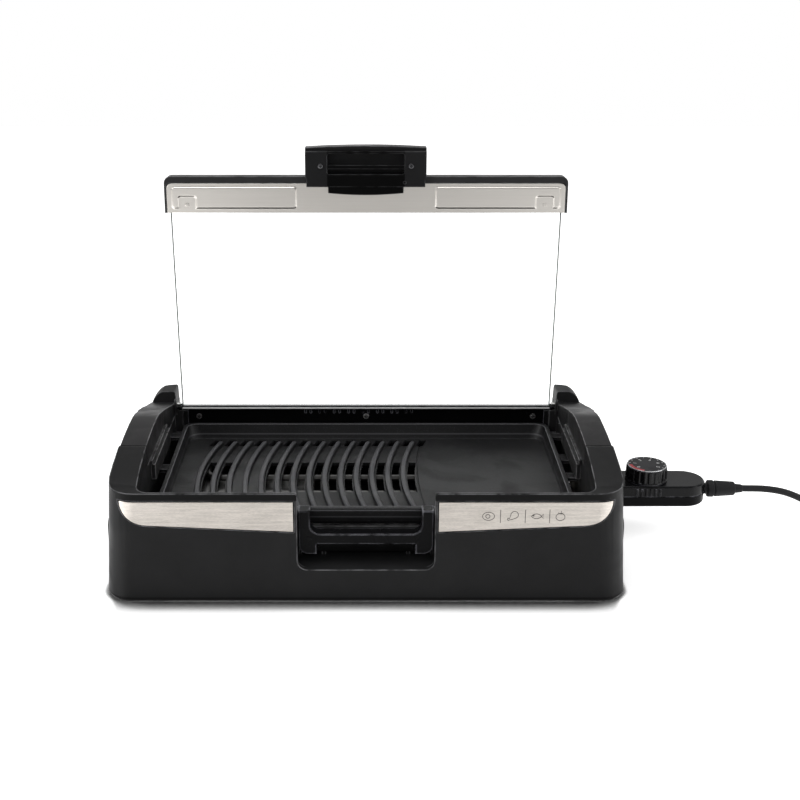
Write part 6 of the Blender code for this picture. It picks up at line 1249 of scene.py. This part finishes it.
def disc_shape(radius, bottom, top):
    """A flat round plate, closed all round."""
    turns = [2 * math.pi * i / 96 for i in range(96)]
    return skinned([[(radius * math.cos(t), radius * math.sin(t), z) for t in turns] for z in (bottom, top)])


def make_knob():
    """The fluted knob with a flat top, made by its tree from the node's own size."""
    low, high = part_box("knob")
    foot = ((low.x + high.x) / 2, (low.y + high.y) / 2, low.z)
    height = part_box("knob_dial")[0].z - low.z
    values = {"Radius": (high.x - low.x) / 2, "Height": height, "Finish": KNOB_BLACK}
    settle(grown("fluted_knob", FLUTED_KNOB, [foot], values), "knob")


def make_knob_face():
    """The knob's dark face plate with a bright rim, its heat marks, red band and figures."""
    low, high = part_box("knob_dial")
    middle = Vector(((low.x + high.x) / 2, (low.y + high.y) / 2, high.z))
    face = middle - Vector((0.0, 0.0, FACE_RISE / 2))
    outer = DIAL_SPREAD * (high.x - low.x) / 2
    bottom = low.z - high.z
    rim = ring_shape(outer * RIM_SHARE, outer, bottom, 0.0)
    settle(finished("knob_rim", place_shape(rim, middle), DIAL_SILVER), "knob_dial")
    plate = disc_shape(outer * PLATE_SHARE, bottom, -FACE_RISE / 2)
    settle(finished("knob_face", place_shape(plate, middle), KNOB_FACE_BLACK), "knob_dial")
    inner, reach = (outer * share for share in BAND_SHARES)
    red = ring_shape(inner, reach, 0.0, PRINT_LIFT, BAND_FIRST, BAND_SWEEP, 40)
    attach(finished("heat_band", place_shape(red, face), DIAL_RED), "knob_dial")
    values = {
        "Radius": outer * MARK_SHARE,
        "First": DIAL_FIRST - DIAL_SLEW,
        "Sweep": DIAL_SLEW,
        "Length": outer * MARK_LENGTH_SHARE,
        "Width": MARK_WIDTH,
        "Height": PRINT_LIFT * 2,
        "Finish": DIAL_WHITE,
    }
    attach(grown("heat_marks", DIAL_MARKS, [face], values), "knob_dial")
    figures = []
    for number, digit in enumerate(DIGITS):
        angle = DIAL_FIRST - DIAL_SLEW * number / (len(DIGITS) - 1)
        spot = Vector((math.cos(angle), math.sin(angle), 0.0)) * outer * FIGURE_SHARE
        figures.append(text_shape(digit, DIGIT_HEIGHT, face + spot, angle - math.pi / 2))
    attach(finished("heat_figures", joined(figures), DIAL_WHITE), "knob_dial")


# Strain relief


RELIEF_SIDES = 48
RELIEF_COLLAR = 0.0088
RELIEF_NECK = 0.0056
# The sleeve's outline as (share of its length, radius): neck, collar, groove, tapering sleeve, soft tip
RELIEF_OUTLINE = (
    (0.000, RELIEF_NECK),
    (0.070, RELIEF_NECK),
    (0.085, RELIEF_COLLAR - 0.0005),
    (0.100, RELIEF_COLLAR),
    (0.225, RELIEF_COLLAR),
    (0.240, RELIEF_COLLAR - 0.0006),
    (0.245, RELIEF_COLLAR - 0.0018),
    (0.270, RELIEF_COLLAR - 0.0018),
    (0.275, RELIEF_COLLAR - 0.0008),
    (0.290, RELIEF_COLLAR - 0.0004),
    (0.760, 0.0072),
    (0.785, 0.0067),
    (0.790, 0.0050),
    (0.960, 0.0043),
    (0.990, 0.0040),
    (1.000, 0.0036),
)


def make_relief():
    """The collar, tapering rubber sleeve and soft tip that the lead leaves the thermostat through."""
    low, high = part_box("strain_relief")
    middle = Vector((low.x, (low.y + high.y) / 2, (low.z + high.z) / 2))
    turns = [2 * math.pi * i / RELIEF_SIDES for i in range(RELIEF_SIDES)]
    rings = []
    for share, radius in RELIEF_OUTLINE:
        along = (high.x - low.x) * share
        rings.append([middle + Vector((along, radius * math.cos(t), radius * math.sin(t))) for t in turns])
    settle(finished("strain_relief_sleeve", skinned(rings), SOFT_RUBBER), "strain_relief")


# Lid plate


LID_LEAN = math.radians(2.5)
SHEET = 0.0008
EMBOSS = 0.0013
EMBOSS_WALL_LOW = 0.0020
EMBOSS_WALL_HIGH = 0.0010
SHEET_STEP = 0.0005
SHEET_CORNER = 0.0050
FIELD_MARGIN = 0.0054
FIELD_LENGTH = 0.1296
FIELD_LOW = 0.0050
FIELD_HIGH = 0.0038
POCKET_INSET = 0.0064
POCKET_WIDTH = 0.0187
POCKET_RISE = 0.0124
CORNER_ROUND = 0.0026


def inside_box(x, z, low, high, radius):
    """How far a place lies inside a rounded rectangle; it is negative outside."""
    half_x, half_z = (high[0] - low[0]) / 2, (high[1] - low[1]) / 2
    from_x = abs(x - (low[0] + high[0]) / 2) - half_x + radius
    from_z = abs(z - (low[1] + high[1]) / 2) - half_z + radius
    outside = math.hypot(max(from_x, 0.0), max(from_z, 0.0))
    return radius - outside - min(max(from_x, from_z), 0.0)


def pressed_height(x, up, half_width, height):
    """How far the sheet stands out at a place: one long field on each side, stepped round its screw."""
    outer = half_width - FIELD_MARGIN
    top = height - FIELD_HIGH
    field = inside_box(abs(x), up, (outer - FIELD_LENGTH, FIELD_LOW), (outer, top), CORNER_ROUND)
    pocket_outer = outer - POCKET_INSET
    low = (pocket_outer - POCKET_WIDTH, FIELD_LOW - POCKET_RISE)
    pocket = inside_box(abs(x), up, low, (pocket_outer, FIELD_LOW + POCKET_RISE), CORNER_ROUND)
    level = min(1.0, max(0.0, (up - FIELD_LOW) / (top - FIELD_LOW)))
    wall = EMBOSS_WALL_LOW + (EMBOSS_WALL_HIGH - EMBOSS_WALL_LOW) * level
    share = min(1.0, max(0.0, min(field, -pocket) / wall + 0.5))
    return EMBOSS * share * share * (3 - 2 * share)


def make_lid_plate():
    """The satin sheet inside the lid's rail, with a long pressed field on each side."""
    low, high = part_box("lid_inner_plate")
    middle_x, half_width = (low.x + high.x) / 2, (high.x - low.x) / 2
    up = Vector((0.0, math.sin(LID_LEAN), math.cos(LID_LEAN)))
    out = Vector((0.0, -math.cos(LID_LEAN), math.sin(LID_LEAN)))
    height = (high.z - low.z - SHEET * math.sin(LID_LEAN)) / math.cos(LID_LEAN)
    foot = Vector((middle_x, low.y, low.z + SHEET * math.sin(LID_LEAN)))
    columns = round(2 * half_width / SHEET_STEP)
    rows = round(height / SHEET_STEP)
    shape = bmesh.new()
    grid = []
    for j in range(rows + 1):
        rise = height * j / rows
        row = []
        into_corner = max(0.0, rise - height + SHEET_CORNER)
        half_row = half_width - SHEET_CORNER + math.sqrt(SHEET_CORNER**2 - into_corner**2)
        for i in range(columns + 1):
            x = max(-half_row, min(half_row, half_width * (2 * i / columns - 1)))
            stand = pressed_height(x, rise, half_width, height)
            row.append(shape.verts.new(foot + Vector((x, 0.0, 0.0)) + up * rise + out * stand))
        grid.append(row)
    for one, two in zip(grid, grid[1:]):
        for i in range(columns):
            shape.faces.new((one[i], one[i + 1], two[i + 1], two[i]))
    bmesh.ops.remove_doubles(shape, verts=shape.verts, dist=WELD)
    shape.normal_update()
    bmesh.ops.solidify(shape, geom=shape.faces, thickness=SHEET)
    bmesh.ops.recalc_face_normals(shape, faces=shape.faces)
    settle(finished("lid_plate_pressed", shape, SATIN_SHEET), "lid_inner_plate")


# Trim icons


ICON_LINE = 0.00058
ICON_LEVEL = 0.0870
ICON_SIZE = 0.0114
ICON_PLACES = {"egg": 0.1120, "drumstick": 0.1345, "fish": 0.1565, "tomato": 0.1778}
BAR_PLACES = (0.1230, 0.1457, 0.1680)
BAR_HEIGHT = 0.0130


def arc(centre, radius, start, stop, steps=16, squeeze=1.0):
    """Points on an arc, in degrees, in an icon's unit square."""
    points = []
    for i in range(steps + 1):
        angle = math.radians(start + (stop - start) * i / steps)
        points.append((centre[0] + radius * math.cos(angle), centre[1] + squeeze * radius * math.sin(angle)))
    return points


def icon_strokes(name):
    """Plain line drawings of food, in a unit square about its middle."""
    if name == "egg":
        return [arc((0, 0), 0.48, 0, 360, 32, 0.72), arc((-0.05, 0.0), 0.17, 0, 360, 20)]
    if name == "drumstick":
        meat = arc((0.12, 0.12), 0.30, -75, 165, 24)
        bone = [meat[-1], (-0.28, -0.20), *arc((-0.36, -0.26), 0.09, 60, 330, 14), (-0.16, -0.30), meat[0]]
        return [meat, bone]
    if name == "fish":
        top = arc((-0.05, -0.32), 0.52, 142, 38, 16)
        low = arc((-0.05, 0.32), 0.52, -38, -142, 16)
        tail = [top[-1], (0.50, 0.20), (0.50, -0.20), low[0]]
        return [top, low, tail, arc((-0.28, 0.05), 0.04, 0, 360, 10)]
    body = arc((0, -0.06), 0.36, 0, 360, 32, 0.86)
    leaves = [(-0.20, 0.30), (0.0, 0.20), (0.20, 0.30), (0.04, 0.18), (0.06, 0.46)]
    return [body, leaves]


def front_of(node):
    """A function that gives the y of the node's front face at a place (x, z)."""
    mesh = frame["nodes"][node].data
    tree = BVHTree.FromPolygons([v.co for v in mesh.vertices], [p.vertices for p in mesh.polygons])

    def level(x, z):
        hit = tree.ray_cast(Vector((x, -1.0, z)), Vector((0.0, 1.0, 0.0)))[0]
        return hit.y if hit else None

    return level


def line_shape(strokes, level):
    """Thin round lines laid on a front face, given as rows of (x, z) places."""
    curve = bpy.data.curves.new("lines", "CURVE")
    curve.dimensions = "3D"
    curve.bevel_depth = ICON_LINE / 2
    curve.bevel_resolution = 2
    curve.use_fill_caps = True
    for places in strokes:
        line = curve.splines.new("POLY")
        line.points.add(len(places) - 1)
        for point, (x, z) in zip(line.points, places):
            point.co = (x, level(x, z), z, 1.0)
    shape = baked_shape(add_object("lines", curve))
    bmesh.ops.remove_doubles(shape, verts=shape.verts, dist=WELD / 10)
    bmesh.ops.recalc_face_normals(shape, faces=shape.faces)
    return shape


def make_trim_icons():
    """Four food drawings with bars between them, in dark lines on the right trim plate."""
    drawings = [(x, stroke) for name, x in ICON_PLACES.items() for stroke in icon_strokes(name)]
    half_bar = BAR_HEIGHT / ICON_SIZE / 2
    drawings += [(x, ((0.0, -half_bar), (0.0, half_bar))) for x in BAR_PLACES]
    strokes = [
        [(x + BASE_MIDDLE_X + ICON_SIZE * u, ICON_LEVEL + ICON_SIZE * v) for u, v in stroke]
        for x, stroke in drawings
    ]
    lines = line_shape(strokes, front_of("trim_plate_right"))
    attach(finished("trim_icons", lines, TRIM_INK), "trim_plate_right")


pieces = dress_nodes()
dress_reshaped()
make_glass_edges()
make_hinge_highlight_strip()
make_tray_grip()
dress_cord()
for screws in SCREWS:
    make_screws(*screws)
make_knob()
make_knob_face()
make_relief()
make_lid_plate()
make_trim_icons()


# Studio


def make_floor():
    shape = bmesh.new()
    bmesh.ops.create_grid(shape, x_segments=1, y_segments=1, size=3.0)
    mesh = bpy.data.meshes.new("studio_floor")
    shape.to_mesh(mesh)
    shape.free()
    mesh.materials.append(white_floor())
    add_object("studio_floor", mesh)


def make_lamp(name, place, height, width, depth, power):
    """A softbox that faces the object's middle at this height."""
    lamp = bpy.data.lights.new(name, "AREA")
    lamp.shape = "RECTANGLE"
    lamp.size = width
    lamp.size_y = depth
    lamp.energy = power
    holder = add_object(name, lamp)
    holder.location = place
    aim = Vector((0.0, 0.0, height)) - Vector(place)
    holder.rotation_euler = aim.to_track_quat("-Z", "Y").to_euler()
    return holder


def make_lamps():
    make_lamp("overhead_softbox", (-0.1, 0.1, 1.9), 0.0, 1.6, 1.1, 16.0)
    make_lamp("left_softbox", (-1.7, -0.9, 1.1), 0.1, 0.9, 1.1, 15.0)
    make_lamp("right_softbox", (1.7, -0.5, 0.9), 0.1, 0.7, 1.0, 8.5)
    fill = make_lamp("front_fill", (0.0, -2.4, 1.4), 0.1, 1.4, 0.7, 10.0)
    fill.visible_glossy = False


def make_world():
    """White to the camera, glass and gloss from behind, and a soft grey for everything else."""
    world = bpy.data.worlds.new("studio")
    world.use_nodes = True
    tree = world.node_tree
    tree.nodes.clear()
    rays = add(tree, "ShaderNodeLightPath").outputs
    seen = larger(tree, rays["Is Camera Ray"], rays["Is Transmission Ray"])
    direction = add(tree, "ShaderNodeTexCoord").outputs["Generated"]
    heading = axes(tree, direction)
    gloss = times(tree, rays["Is Glossy Ray"], between(tree, heading["Y"], -0.6, 0.6, GLOSS_FRONT, 1.0))
    gloss = times(tree, gloss, between(tree, heading["Z"], 0.15, 0.45, 1.0, GLOSS_HIGH))
    level = larger(tree, larger(tree, seen, gloss), WORLD_LEVEL)
    background = add(tree, "ShaderNodeBackground", {"Color": (1.0, 1.0, 1.0, 1.0), "Strength": level})
    add(tree, "ShaderNodeOutputWorld", {"Surface": background.outputs[0]})
    bpy.context.scene.world = world


make_floor()
make_lamps()
make_world()
bpy.context.scene.view_settings.view_transform = "Standard"
